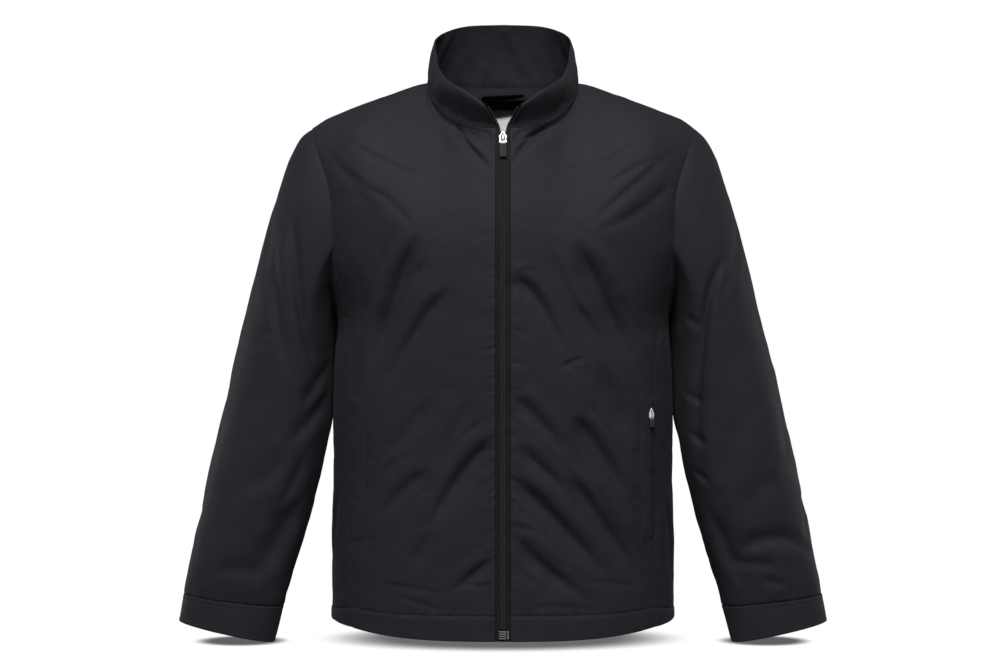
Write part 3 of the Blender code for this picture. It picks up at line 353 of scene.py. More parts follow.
# Sleeves: side, then the angle in degrees (0 outer, 90 front, 180 inner, 270 back) and the place
# along the sleeve of the three points.
SLEEVE_FOLDS = (
    ("right", 60, 0.170, 94, 0.260, 142, 0.445, 0.0120, 0.0040),
    ("right", 52, 0.265, 74, 0.365, 106, 0.495, 0.0090, 0.0024),
    ("right", 12, 0.210, 42, 0.300, 56, 0.375, 0.0120, 0.0016),
    ("right", 22, 0.505, 56, 0.470, 78, 0.445, 0.0050, 0.0014),
    ("right", 20, 0.480, 60, 0.440, 80, 0.420, 0.0040, 0.0010),
    ("right", 162, 0.460, 134, 0.565, 110, 0.645, 0.0090, 0.0030),
    ("right", 164, 0.330, 134, 0.470, 122, 0.540, 0.0070, 0.0024),
    ("right", 138, 0.780, 126, 0.860, 110, 0.950, 0.0130, 0.0046),
    ("right", 112, 0.660, 96, 0.735, 74, 0.780, 0.0100, 0.0022),
    ("right", 66, 0.950, 92, 0.925, 124, 0.950, 0.0070, 0.0018),
    ("right", 134, 0.660, 126, 0.740, 116, 0.795, 0.0070, 0.0022),
    ("left", 62, 0.275, 108, 0.325, 134, 0.645, 0.0100, 0.0046),
    ("left", 132, 0.205, 122, 0.265, 110, 0.330, 0.0040, 0.0018),
    ("left", 146, 0.465, 132, 0.505, 120, 0.540, 0.0040, 0.0020),
    ("left", 146, 0.590, 134, 0.620, 124, 0.645, 0.0040, 0.0020),
    ("left", 152, 0.695, 140, 0.715, 132, 0.740, 0.0040, 0.0018),
    ("left", 116, 0.895, 78, 0.870, 26, 0.910, 0.0070, 0.0036),
    ("left", 96, 0.935, 88, 0.955, 76, 0.955, 0.0050, 0.0018),
    ("left", 140, 0.810, 130, 0.885, 124, 0.950, 0.0090, 0.0030),
    ("left", 78, 0.585, 98, 0.670, 112, 0.760, 0.0110, 0.0020),
    ("left", 14, 0.245, 46, 0.295, 86, 0.315, 0.0090, 0.0020),
    ("left", 58, 0.755, 84, 0.780, 104, 0.820, 0.0100, 0.0018),
    ("left", 134, 0.905, 102, 0.915, 82, 0.920, 0.0050, 0.0020),
    ("both", 300, 0.180, 262, 0.270, 222, 0.440, 0.0120, 0.0038),
    ("both", 330, 0.430, 290, 0.450, 240, 0.500, 0.0080, 0.0024),
    ("both", 340, 0.520, 295, 0.545, 250, 0.540, 0.0090, 0.0024),
    ("both", 200, 0.500, 228, 0.600, 252, 0.690, 0.0100, 0.0030),
    ("both", 222, 0.740, 236, 0.830, 256, 0.930, 0.0120, 0.0040),
    ("both", 344, 0.650, 320, 0.740, 284, 0.800, 0.0110, 0.0026),
    ("both", 350, 0.900, 310, 0.870, 266, 0.920, 0.0080, 0.0028),
    ("both", 356, 0.150, 340, 0.260, 330, 0.380, 0.0120, 0.0022),
    ("both", 4, 0.560, 14, 0.640, 30, 0.700, 0.0090, 0.0020),
    ("both", 350, 0.780, 366, 0.840, 384, 0.860, 0.0080, 0.0022),
)
FOLD_STRENGTH, FOLD_RIDGE = 1.45, 0.20


# ---- small tools --------------------------------------------------------------------------------


def along(table, column, at):
    """One column of a table as a smooth curve of its first column: cubic pieces whose slopes are the
    table's own differences."""
    rows = np.array(table, float)
    t, y = rows[:, 0], rows[:, column]
    slope = np.gradient(y, t)
    at = np.clip(at, t[0], t[-1])
    i = np.clip(np.searchsorted(t, at, side="right") - 1, 0, len(t) - 2)
    h = t[i + 1] - t[i]
    s = (at - t[i]) / h
    ends = (1 + 2 * s) * (1 - s) ** 2 * y[i] + s**2 * (3 - 2 * s) * y[i + 1]
    return ends + s * (1 - s) ** 2 * h * slope[i] - s**2 * (1 - s) * h * slope[i + 1]


def ease(x, low, high):
    """0 below low, 1 above high, and a smooth step between."""
    s = np.clip((x - low) / (high - low), 0, 1)
    return s * s * (3 - 2 * s)


def unit(v):
    """Vectors of length 1, along the last axis."""
    return v / np.maximum(np.linalg.norm(v, axis=-1, keepdims=True), 1e-12)


def normals(points, closed=False):
    """The outward normal at each point of a grid whose columns run anticlockwise seen from above and
    whose rows run up."""
    if closed:
        across = np.roll(points, -1, axis=1) - np.roll(points, 1, axis=1)
    else:
        across = np.gradient(points, axis=1)
    return unit(np.cross(across, np.gradient(points, axis=0)))


def bell(away, reach):
    """1 where away is 0, falling off smoothly to both sides within about reach."""
    return np.exp(-((away / reach) ** 2))


def nearest(values, wanted):
    """The number of the value nearest to the wanted one."""
    return int(np.argmin(np.abs(values - wanted)))


def run_along(path):
    """The distance of each point of a line from its start, along it."""
    return np.concatenate([[0], np.cumsum(np.linalg.norm(np.diff(path, axis=0), axis=1))])


def sampled(at, run, values):
    """Each column of a list of points or directions, read at places along its run."""
    return np.stack([np.interp(at, run, values[:, k]) for k in range(values.shape[1])], axis=-1)


def averaged(path, count):
    """A line of points, each the mean of so many neighbours, going on beyond both ends as its last points."""
    padded = np.pad(path, ((count // 2, count // 2), (0, 0)), "edge")
    kernel = np.ones(count) / count
    return np.stack([np.convolve(padded[:, k], kernel, "valid") for k in range(3)], axis=-1)


def wrapped(degrees, centre):
    """Angles from a centre, from -180 to 180 degrees."""
    return (degrees - centre + 180) % 360 - 180


MIRROR = {"left": np.array([1.0, 1.0, 1.0]), "right": np.array([-1.0, 1.0, 1.0])}


def for_side(side, *grids):
    """Grids on the wearer's left, as they are, or turned into those on the right with their columns in the
    same order round the body."""
    return [grid[:, ::-1] * MIRROR["right"] if side == "right" else grid for grid in grids]


def hashed(cells, seed):
    """A fixed random number from -1 to 1 for each whole-numbered cell."""
    n = cells[..., 0] * 1619 + cells[..., 1] * 31337 + cells[..., 2] * 6971 + seed * 1013
    n = (n ^ (n >> 13)) & 0x7FFFFFFF
    n = (n * (n * n * 15731 + 789221) + 1376312589) & 0x7FFFFFFF
    return 1 - n / 1073741824.0


def noise(points, size, seed):
    """Smooth random values from about -1 to 1, one bump about every size metres, at points in space:
    the cells' numbers, blended by smooth steps."""
    p = np.asarray(points, float) / size + 1000.0
    cell = np.floor(p).astype(np.int64)
    f = p - cell
    f = f * f * f * (f * (f * 6 - 15) + 10)
    total = np.zeros(p.shape[:-1])
    for dx in (0, 1):
        for dy in (0, 1):
            for dz in (0, 1):
                weight = (
                    np.where(dx, f[..., 0], 1 - f[..., 0])
                    * np.where(dy, f[..., 1], 1 - f[..., 1])
                    * np.where(dz, f[..., 2], 1 - f[..., 2])
                )
                total += weight * hashed(cell + np.array([dx, dy, dz]), seed)
    return total


def ripple(at, size, seed):
    """Smooth random values from about -1 to 1 along a line."""
    at = np.asarray(at, float)
    return noise(np.stack([at, 0 * at, 0 * at], axis=-1), size, seed)


def fold_depth(u, v, folds):
    """How deep the folds press at (u, v) in metres. With w the half width and d the distance from its
    line, a fold is exp(-(d / w)^2), narrow on its upper side and wide below, so that its upper flank
    turns down; a low ridge runs above it, and its depth fades in and out along it."""
    depth = np.zeros(u.shape)
    flat_u, flat_v = u.ravel(), v.ravel()
    for u0, v0, u1, v1, u2, v2, width, deep in folds:
        t = np.linspace(-0.14, 1.14, 43)
        ctrl_u, ctrl_v = 2 * u1 - (u0 + u2) / 2, 2 * v1 - (v0 + v2) / 2
        cu = (1 - t) ** 2 * u0 + 2 * t * (1 - t) * ctrl_u + t**2 * u2
        cv = (1 - t) ** 2 * v0 + 2 * t * (1 - t) * ctrl_v + t**2 * v2
        reach = 5.0 * width
        near = (
            (flat_u > cu.min() - reach)
            & (flat_u < cu.max() + reach)
            & (flat_v > cv.min() - reach)
            & (flat_v < cv.max() + reach)
        )
        if not near.any():
            continue
        pu, pv = flat_u[near], flat_v[near]
        i = ((pu[:, None] - cu) ** 2 + (pv[:, None] - cv) ** 2).argmin(1)
        tu, tv = np.gradient(cu)[i], np.gradient(cv)[i]
        run = np.hypot(tu, tv)
        step = ((pu - cu[i]) * tu + (pv - cv[i]) * tv) / run**2
        place = t[i] + np.clip(step, -3, 3) * (t[1] - t[0])
        off = ((pu - cu[i]) * tv - (pv - cv[i]) * tu) / run / width
        off = off * (-np.sign(cu[-1] - cu[0]) or 1.0)
        fade = ease(place, -0.14, 0.34) * (1 - ease(place, 0.62, 1.13))
        off = off / (0.55 + 0.45 * fade)
        trough = np.where(off > 0, bell(off, 0.95), bell(off, 1.5))
        ridge = FOLD_RIDGE * bell(off - 2.3, 1.2)
        part = np.zeros(len(flat_u))
        part[near] = deep * fade * (trough - ridge) * FOLD_STRENGTH
        depth += part.reshape(u.shape)
    return depth


def attended(folds, seed):
    """The folds and, beside each wide one, two faint narrow ones that run with it."""
    rows = []
    for k, row in enumerate(folds):
        rows.append(row)
        if row[6] < 0.0065:
            continue
        line, width, deep = np.array(row[:6]), row[6], row[7]
        across = np.array([line[5] - line[1], line[0] - line[4]])
        across = across / np.linalg.norm(across)
        r = hashed(np.array([[k, c, 3] for c in range(6)]), seed)
        for way, turn, slip in ((1, r[0], r[1]), (-1, r[2], r[3])):
            shift = across * way * width * (2.5 + 0.8 * turn)
            run = (line[4:] - line[:2]) * slip * 0.18
            bent = np.tile(across, 3) * np.repeat([0, r[4], r[5]], 2) * width * 0.9
            moved = line + np.tile(shift + run, 3) + bent
            rows.append((*moved, width * (0.42 + 0.1 * slip), deep * (0.15 + 0.08 * turn)))
    return rows


def gathers(at, away, size, reach, seed):
    """Short soft folds that leave a seam: along it they vary over about size metres, and they die away
    within reach metres of it, slanting a little."""
    wave = ripple(at + away * 0.35, size, seed) + 0.6 * ripple(at - away * 0.25, size * 0.47, seed + 1)
    lengths = 1 + 0.6 * ripple(at, size * 1.3, seed + 2)
    return wave * np.exp(-((away / (reach * lengths)) ** 2))


def puckers(at, away, seed, pitch=0.016, length=0.022, width=0.0021, depth=0.0005, slant=0.35):
    """Short creases that leave a seam about pitch apart, unevenly: each is exp(-(d / width)^2) across,
    slants as it goes and fades out along its length."""
    low, relief = float(at.min()), np.zeros(at.shape)
    for k in range(int((float(at.max()) - low) / pitch) + 1):
        turn, long, wide, lean, deep = hashed(np.array([[k, c, 7] for c in range(5)]), seed)
        off = at - low - (k + 0.5 + 0.45 * turn) * pitch + (slant + 0.35 * lean) * away
        off = off / (width * (1 + 0.4 * wide))
        across = np.where(off > 0, np.exp(-(off**2)), bell(off, 1.7))
        relief -= depth * (0.6 + 0.5 * deep) * across * (1 - ease(away / length / (1 + 0.5 * long), 0.1, 1.0))
    return relief


def crinkle(points, seed, strength=0.00036):
    """Fine unevenness all over, of two small sizes."""
    return strength * (noise(points, 0.017, seed) + 0.45 * noise(points, 0.0085, seed + 1))


def tucked(points, direct, edge, shift, sink, steps=(0.35, 0.7, 1.0)):
    """The grid with a seam allowance: beyond one edge, rows or columns that go on by the shift and sink
    under the neighbouring piece."""
    axis, last = {"low": (0, 0), "high": (0, -1), "first": (1, 0), "last": (1, -1)}[edge]
    line, out = (np.take(grid, [last], axis=axis) for grid in (points, direct))
    extra = [line + shift * t - out * (sink * t**0.5) for t in steps]
    outs = [out for _ in steps]
    if last == 0:
        extra, outs = extra[::-1], outs[::-1]
        return np.concatenate(extra + [points], axis=axis), np.concatenate(outs + [direct], axis=axis)
    return np.concatenate([points] + extra, axis=axis), np.concatenate([direct] + outs, axis=axis)


def crumple(points, seed, size=0.075, strength=0.0009):
    """The broad unevenness of cloth that isn't pulled tight: two sizes of noise, with soft ridges where
    the first changes sign."""
    broad = noise(points * np.array([1.0, 1.0, 0.62]), size, seed)
    fine = noise(points * np.array([1.0, 1.0, 0.8]), size * 0.36, seed + 5)
    return strength * (broad + 0.30 * fine + 0.35 * (1 - np.abs(broad) * 3).clip(0, 1) * fine)


def graded(count, length, fine=(0.00018, 0.0005, 0.0010, 0.0017, 0.0027)):
    """Fractions from 0 to 1, even but for a few closer ones at both ends, at those distances along the
    given length."""
    fine = np.array(fine) / length
    middle = np.linspace(fine[-1] * 1.6, 1 - fine[-1] * 1.6, count)
    return np.concatenate([[0], fine, middle, 1 - fine[::-1], [1]])


def spans(points, axis):
    """The distance of each grid point from the first line across that axis, along the grid."""
    steps = np.linalg.norm(np.diff(points, axis=axis), axis=-1)
    out = np.cumsum(steps, axis=axis)
    shape = list(out.shape)
    shape[axis] = 1
    return np.concatenate([np.zeros(shape), out], axis=axis)


# ---- meshes -------------------------------------------------------------------------------------


def mesh_piece(name, points, faces, material, uv=None, body=ROOT):
    """An object of points and equal-sided faces, smooth-shaded, that rides on a body. uv is one pair
    for each point."""
    points, faces = np.asarray(points, np.float32), np.asarray(faces, np.int32)
    mesh = bpy.data.meshes.new(name)
    mesh.vertices.add(len(points))
    mesh.vertices.foreach_set("co", points.ravel())
    mesh.loops.add(faces.size)
    mesh.loops.foreach_set("vertex_index", faces.ravel())
    mesh.polygons.add(len(faces))
    mesh.polygons.foreach_set("loop_start", np.arange(0, faces.size, faces.shape[1], dtype=np.int32))
    mesh.update(calc_edges=True)
    if uv is not None:
        layer = mesh.uv_layers.new(name="cloth")
        layer.data.foreach_set("uv", np.asarray(uv, np.float32)[faces.ravel()].ravel())
    mesh.validate()
    mesh.shade_smooth()
    made = bpy.data.objects.new(name, mesh)
    made.data.materials.append(material)
    bpy.context.scene.collection.objects.link(made)
    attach(made, body)
    return made


def grid_quads(index, closed):
    """The quads of an array of point numbers, rows up and columns anticlockwise seen from above."""
    right = np.roll(index, -1, axis=1) if closed else index[:, 1:]
    left = index if closed else index[:, :-1]
    return np.stack([left[:-1], right[:-1], right[1:], left[1:]], axis=-1).reshape(-1, 4)


def shell(name, outer, direct, thick, material, closed=False, soft_edges=True, body=ROOT):
    """A closed thin shell: the outer grid and, thick behind it, the inner one, joined at their borders,
    where both curve in to meet as a folded edge does: with s the distance from the border over half the
    thickness, both lie sqrt(1 - (1 - s)^2) of the half thickness from the middle."""
    rows, columns = outer.shape[:2]
    up = spans(outer, 0)
    from_edge = np.minimum(up, up[-1:] - up)
    if not closed:
        across = spans(outer, 1)
        from_edge = np.minimum(from_edge, np.minimum(across, across[:, -1:] - across))
    half = np.broadcast_to(np.asarray(thick, float) / 2, (rows, columns))
    s = np.clip(from_edge / half, 0, 1)
    part = np.sqrt(1 - (1 - s) ** 2) if soft_edges else np.where(from_edge > 0, 1.0, 0.0)
    middle = outer - direct * half[..., None]
    front, behind = (middle + direct * (half * part * k)[..., None] for k in (1, -1))
    index = np.arange(rows * columns).reshape(rows, columns)
    inner = index.copy()
    inside = (slice(1, -1), slice(None)) if closed else (slice(1, -1), slice(1, -1))
    inner[inside] = rows * columns + np.arange(inner[inside].size).reshape(inner[inside].shape)
    points = np.concatenate([front.reshape(-1, 3), behind[inside].reshape(-1, 3)])
    faces = np.concatenate([grid_quads(index, closed), grid_quads(inner, closed)[:, ::-1]])
    width = spans(outer, 1).mean(0)
    uv = np.stack(np.broadcast_arrays(width[None, :], up), axis=-1)
    uv = np.concatenate([uv.reshape(-1, 2), uv[inside].reshape(-1, 2) + 1.7])
    return mesh_piece(name, points, faces, material, uv, body)


def resampled(path, outs, spacing, offset=0.0):
    """Points every spacing metres along a line of points, with the directions out from the cloth there
    and along the line."""
    run = run_along(path)
    at = np.arange(offset + spacing / 2, run[-1], spacing)
    near = 0.0004
    ahead = unit(sampled(at + near, run, path) - sampled(at - near, run, path))
    return sampled(at, run, path), unit(sampled(at, run, outs)), ahead


def copies(solid, faces, where, across, ahead, out):
    """Many copies of a small solid: each of its points (a, b, c) goes to where + a across + b ahead + c
    out."""
    points = (
        where[:, None]
        + solid[None, :, :1] * across[:, None]
        + solid[None, :, 1:2] * ahead[:, None]
        + solid[None, :, 2:] * out[:, None]
    )
    shift = np.arange(len(where))[:, None, None] * len(solid)
    return points.reshape(-1, 3), (faces[None] + shift).reshape(-1, faces.shape[1])


def thread_solid(length, thick, sides=5, rings=5):
    """One stitch: a short thread that dives into the cloth at both ends."""
    t = np.linspace(-1, 1, rings)
    a = np.arange(sides) * 2 * np.pi / sides
    radius = thick / 2 * np.sqrt(np.clip(1.02 - t**4, 0.05, 1))[:, None]
    lift = thick * 0.32 * (1 - t**2)[:, None] - thick * 0.12
    points = np.stack(
        np.broadcast_arrays(radius * np.cos(a), (t * length / 2)[:, None], lift + radius * np.sin(a)), axis=-1
    ).reshape(-1, 3)
    faces = grid_quads(np.arange(rings * sides).reshape(rings, sides), True)
    return points, faces


STITCHES = []


def sew(path, outs, length=0.0026, gap=0.0007, thick=0.00042):
    """Keeps a row of stitches along a line of points on the cloth, to be made with all the others."""
    where, out, ahead = resampled(np.asarray(path), np.asarray(outs), length + gap)
    solid, faces = thread_solid(length, thick)
    STITCHES.append(copies(solid, faces, where, np.cross(ahead, out), ahead, out))


def gathered(parts):
    """Several sets of points and faces as one."""
    points, faces, start = [], [], 0
    for part_points, part_faces in parts:
        points.append(part_points)
        faces.append(part_faces + start)
        start += len(part_points)
    return np.concatenate(points), np.concatenate(faces)


# ---- materials ----------------------------------------------------------------------------------


class Maths:
    """A shader value that sums, multiplies and so on by making Math nodes."""

    def __init__(self, tree, socket):
        self.tree, self.socket = tree, socket

    def _with(self, operation, other, swap=False):
        node = self.tree.nodes.new("ShaderNodeMath")
        node.operation = operation
        for k, value in enumerate((other, self) if swap else (self, other)):
            if isinstance(value, Maths):
                self.tree.links.new(value.socket, node.inputs[k])
            elif value is not None:
                node.inputs[k].default_value = value
        return Maths(self.tree, node.outputs[0])

    def __add__(self, other):
        return self._with("ADD", other)

    def __sub__(self, other):
        return self._with("SUBTRACT", other)

    def __rsub__(self, other):
        return self._with("SUBTRACT", other, True)

    def __mul__(self, other):
        return self._with("MULTIPLY", other)

    def __pow__(self, other):
        return self._with("POWER", other)

    __radd__, __rmul__ = __add__, __mul__

    def sine(self):
        return self._with("SINE", None)

    def clamped(self):
        return self._with("ADD", 0.0)._with("MINIMUM", 1.0)._with("MAXIMUM", 0.0)


class Shader:
    """A material being built round one Principled shader."""

    def __init__(self, name, colour, roughness, metallic=0.0, **fixed):
        self.material = bpy.data.materials.new(name)
        self.material.use_nodes = True
        self.tree = self.material.node_tree
        self.main = self.tree.nodes["Principled BSDF"]
        self.set("Base Color", (*colour, 1.0))
        self.set("Roughness", roughness)
        self.set("Metallic", metallic)
        for key, value in fixed.items():
            self.set(key.replace("_", " "), value)
        self.material.diffuse_color = (*colour, 1.0)

    def set(self, socket, value):
        self.main.inputs[socket].default_value = value

    def node(self, kind, **inputs):
        """Any node, with its inputs set or linked by name."""
        made = self.tree.nodes.new(kind)
        for key, value in inputs.items():
            socket = made.inputs[key.replace("_", " ")]
            if isinstance(value, Maths):
                self.tree.links.new(value.socket, socket)
            elif hasattr(value, "is_linked"):
                self.tree.links.new(value, socket)
            else:
                socket.default_value = value
        return made

    def value(self, socket):
        return Maths(self.tree, socket)

    def place(self, kind="Object"):
        """Texture coordinates of that kind."""
        return self.node("ShaderNodeTexCoord").outputs[kind]

    def parts(self, vector):
        """The three numbers of a vector."""
        split = self.node("ShaderNodeSeparateXYZ", Vector=vector)
        return [self.value(split.outputs[k]) for k in range(3)]

    def cloud(self, scale, detail=2.0, stretch=None):
        """Smooth noise from 0 to 1 over the object, scale bumps to the metre."""
        vector = self.place()
        if stretch:
            mapping = self.node("ShaderNodeMapping", Vector=vector, Scale=stretch)
            vector = mapping.outputs[0]
        made = self.node("ShaderNodeTexNoise", Vector=vector, Scale=scale, Detail=detail)
        return self.value(made.outputs[0])

    def drive(self, socket, value):
        self.tree.links.new(value.socket if isinstance(value, Maths) else value, self.main.inputs[socket])

    def tint(self, dark, light, by):
        """Base colour between two colours."""
        mix = self.node("ShaderNodeMix")
        mix.data_type = "RGBA"
        self.tree.links.new(by.socket, mix.inputs["Factor"])
        for key, colour in (("A", dark), ("B", light)):
            socket = [s for s in mix.inputs if s.name == key and s.type == "RGBA"][0]
            socket.default_value = (*colour, 1.0)
        out = [s for s in mix.outputs if s.type == "RGBA"][0]
        self.drive("Base Color", out)

    def bump(self, height, distance, strength=1.0):
        made = self.node("ShaderNodeBump", Height=height, Distance=distance, Strength=strength)
        self.drive("Normal", made.outputs[0])


def cloth_material(name, dark, light, roughness, pitch=0.00042, sheen=0.02, bump=0.00003):
    """Closely woven cloth: two crossed sets of threads pitch apart in the cloth's own coordinates,
    faint mottling, and a soft sheen."""
    made = Shader(name, light, roughness)
    made.set("Specular IOR Level", 0.06)
    made.set("Sheen Weight", sheen)
    made.set("Sheen Roughness", 0.45)
    u, v, _ = made.parts(made.place("UV"))
    k = 2 * math.pi / pitch
    wobble = made.cloud(900.0, 1.0)
    warp = (u * k + wobble * 1.5).sine()
    weft = (v * k * 0.92 + wobble * 1.5).sine()
    weave = warp * 0.5 + weft * 0.5 + (warp * weft) * 0.35
    slub = made.cloud(260.0, 2.0, (1.0, 1.0, 0.25))
    mottle = made.cloud(16.0, 3.0)
    made.tint(dark, light, (mottle * 0.9 + slub * 0.35 + weave * 0.06 - 0.12).clamped())
    made.drive("Roughness", (mottle * 0.10 + slub * 0.08 + (roughness - 0.09)))
    made.bump(weave * 0.6 + slub * 0.8, bump)
    return made.material


def metal_material(name, dark, light):
    """Plated zinc with a satin finish, faintly scratched and duller in patches."""
    made = Shader(name, light, 0.36, 0.40)
    scratch = made.cloud(2600.0, 3.0, (1.0, 0.12, 1.0))
    dull = made.cloud(420.0, 3.0)
    made.drive("Roughness", dull * 0.20 + scratch * 0.10 + 0.22)
    made.tint(dark, light, dull)
    made.bump(scratch, 0.00002)
    return made.material


def moulding_material(name, dark, light, gloss=0.22):
    """Moulded plastic with a fine grain."""
    made = Shader(name, light, 0.5)
    grain = made.cloud(5200.0, 2.0)
    broad = made.cloud(300.0, 2.0)
    made.tint(dark, light, broad)
    made.set("Specular IOR Level", gloss)
    made.drive("Roughness", broad * 0.16 + 0.44)
    made.bump(grain, 0.000006)
    return made.material


def thread_material(name, dark, light):
    """Twisted sewing thread."""
    made = Shader(name, light, 0.6)
    x, y, z = made.parts(made.place())
    twist = ((x + y + z) * (2 * math.pi / 0.0005)).sine()
    made.tint(dark, light, (twist * 0.4 + 0.5).clamped())
    made.bump(twist, 0.00003)
    return made.material


SHELL = cloth_material("shell_cloth_woven", (0.0170, 0.0160, 0.0205), (0.0225, 0.0214, 0.0270), 0.62)
TAPE = cloth_material(
    "zip_tape_woven", (0.0080, 0.0082, 0.0077), (0.0128, 0.0131, 0.0122), 0.72, 0.0009, 0.02, 0.00006
)
POCKET_TAPE = cloth_material(
    "pocket_tape_woven", (0.0125, 0.0125, 0.0130), (0.0170, 0.0168, 0.0180), 0.70, 0.0009
)
LABEL = cloth_material(
    "label_black_woven", (0.0080, 0.0080, 0.0084), (0.0132, 0.0132, 0.0137), 0.62, 0.0005, 0.03
)
TAB = cloth_material("label_white_woven", (0.70, 0.70, 0.69), (0.86, 0.86, 0.85), 0.75, 0.0005, 0.0)
METAL = metal_material("slider_plated", (0.74, 0.73, 0.72), (0.94, 0.94, 0.93))
# the zip's link: a dark metal, much darker than the slider
WIRE = metal_material("link_dark_metal", (0.030, 0.030, 0.030), (0.060, 0.060, 0.060))
MOULDING = moulding_material("pull_black", (0.009, 0.009, 0.010), (0.018, 0.018, 0.019))
# the pocket pull: the same black moulding as the front pull, drawn lighter as painted light
LIT_POCKET_PULL = moulding_material("pull_small_black_painted_light", (0.016, 0.016, 0.017), (0.040, 0.040, 0.042))
# near-black sheets for the sliders' opening and holes: painted shade, over the black teeth in the main
# slider's opening
OPENING_SHADE = moulding_material("slider_painted_shade", (0.002, 0.002, 0.002), (0.004, 0.004, 0.004), 0.05)
# grey for the box's ribs and bars: painted highlight on the black box
RIB_HIGHLIGHT = moulding_material("box_ribs_painted_highlight", (0.150, 0.150, 0.146), (0.240, 0.240, 0.232))
THREAD = thread_material("thread_black", (0.010, 0.010, 0.012), (0.021, 0.020, 0.025))
COIL = thread_material("zip_coil", (0.008, 0.008, 0.008), (0.021, 0.021, 0.021))


# ---- the body's form ----------------------------------------------------------------------------


def panel_form(x, z, face):
    """How far the cloth lies from the plane y = 0 at distance x from the middle and height z: the
    ring's depth, brought in to 0 at the shoulder line by 1 - (1 - s)^2 over the rounding's height."""
    x = np.abs(x)
    front = face == "front"
    t = ease(x, 0.07, 0.20)
    at_middle, at_side = ROUNDING[face]
    height = at_middle + (at_side - at_middle) * t
    power = (1.2 + 0.8 * t) if front else 2.0
    line = along(RIDGE, 1, x)
    line = line + (along(FAIR, 1, x) - line) * ease(line - z, 0.003, 0.040)
    s = np.clip((line - z) / height, 0, 1)
    rounding = (1 - (1 - s) ** 2) ** (1 / power)
    depth = along(TORSO, 2 if front else 3, z)
    ring = np.clip(1 - (x / along(TORSO, 1, z)) ** ROUND, 0, 1) ** (1 / ROUND)
    return depth * ring * rounding


def hem_z(x, face):
    """The height of the lower edge: lowest at the middle, and rising late towards the sides."""
    dip = HEM_DIP if face == "front" else HEM_DIP_BACK
    return HEM_Z - dip * np.clip(1 - np.abs(x / 0.2197) ** 3.6, 0, 1)


HEM_STEPS = (0, 0.00018, 0.0005, 0.0010, 0.0017, 0.003, 0.006, 0.010, 0.014, 0.018, 0.022, 0.026, 0.029)
HEM_ROWS = np.array(HEM_STEPS) / HEM_BAND[0]  # shares of the way up the hem
BACK_EDGE_STEPS = (0.0027, 0.0017, 0.0010, 0.0005, 0.00018, 0)  # the last columns of half the back
FEW_COLUMNS = 40
BACK_HALF = 0.2  # half the back's width at the hem
# the height over which the body rounds in to the shoulder line, at the middle and towards the sides
ROUNDING = {"front": (0.26, 0.12), "back": (0.21, 0.13)}


def evened(grid, reach):
    """Each row of a grid smoothed by a bell whose half width is so many columns."""
    weights = bell(np.arange(-3 * reach, 3 * reach + 1), reach)
    padded = np.pad(grid, ((0, 0), (3 * reach, 3 * reach)), "edge")
    return np.stack([np.convolve(row, weights / weights.sum(), "valid") for row in padded])


def half_panel(face, columns=80, rows=272):
    """The points of one half of the front or back, for the wearer's left: rows up, columns from the
    middle out."""
    front = face == "front"
    inner = ZIP_HALF if front else 0.0
    if front:
        u = graded(columns, 0.18)
    else:
        u = np.concatenate([np.linspace(0, 0.96, columns), 1 - np.array(BACK_EDGE_STEPS) / BACK_HALF])
    neck_share = 6 / 13 if front else 4 / 11
    angle = (NECK_ANGLE if front else math.pi / 2) * np.clip(1 - u / neck_share, 0, 1)
    beyond = np.clip((u - neck_share) / (1 - neck_share), 0, 1)
    top_x = np.where(u < neck_share, NECK_HALF * np.cos(angle), NECK_HALF + beyond * (TIP_X - NECK_HALF))
    neck_z = NECK_Z + (-NECK_DROP if front else NECK_RISE) * np.sin(angle)
    neck_y = (NECK_FRONT if front else NECK_BACK) * np.sin(angle)
    top_z = np.where(u < neck_share, neck_z, along(RIDGE, 1, top_x))
    edge_column = 1 if front else 2
    low_x = inner + u * ((SIDE_X if front else BACK_HALF) - inner)
    hem = hem_z(low_x, face)
    band = HEM_BAND[1] + (HEM_BAND[0] - HEM_BAND[1]) * (1 - u**2) * front
    start = hem + band
    rise = graded(rows, 0.6, (0.0004, 0.0010, 0.0018, 0.0028, 0.004))[:, None]
    z = np.concatenate([hem + HEM_ROWS[:, None] * band, start + rise * (top_z - start)])
    rise = np.concatenate([np.zeros((len(HEM_ROWS), 1)), rise])
    top_share = (top_x - inner) / (TIP_X - inner)
    share = u + (top_share - u) * ease(rise, 0.45, 1.0)
    x = inner + share * (along(EDGES, edge_column, z) - inner)
    y = panel_form(x, z, face)
    wanted = np.where(u < neck_share, neck_y, 0.0)
    moved = (wanted - y[-1]) * bell(top_z - z, 0.045)
    # a panel of few columns is made only for its edge, and isn't evened out
    if columns > FEW_COLUMNS:
        for low, high, reach in ((0.001, 0.007, 2), (0.006, 0.020, 5), (0.016, 0.036, 9)):
            moved = moved + (evened(moved, reach) - moved) * ease(top_z - z, low, high)
    y = y + moved
    return np.stack([x, -y if front else y, z], axis=-1)


def body_direction(points, steepness=0.11):
    """A smooth direction out of the body, the same for neighbouring panels: the gradient of the ring's
    form, turned upwards near the shoulder line."""
    x, y, z = np.moveaxis(points, -1, 0)
    half = along(TORSO, 1, z)
    depth = np.where(y < 0, along(TORSO, 2, z), along(TORSO, 3, z))
    nx = np.sign(x) * (np.abs(x) / half) ** (ROUND - 1) / half
    ny = np.sign(y) * (np.abs(y) / depth) ** (ROUND - 1) / depth
    level = unit(np.stack([nx, ny, 0 * nx], axis=-1))
    below = np.clip((along(FAIR, 1, np.abs(x)) - z) / steepness, 0, 1)
    up = (1 - below) ** 1.5
    tilt = np.stack([0.39 * np.sign(x) * ease(np.abs(x), 0.02, 0.10), 0 * x, 0.92 + 0 * x], axis=-1)
    return unit(level * (1 - up)[..., None] + tilt * up[..., None])


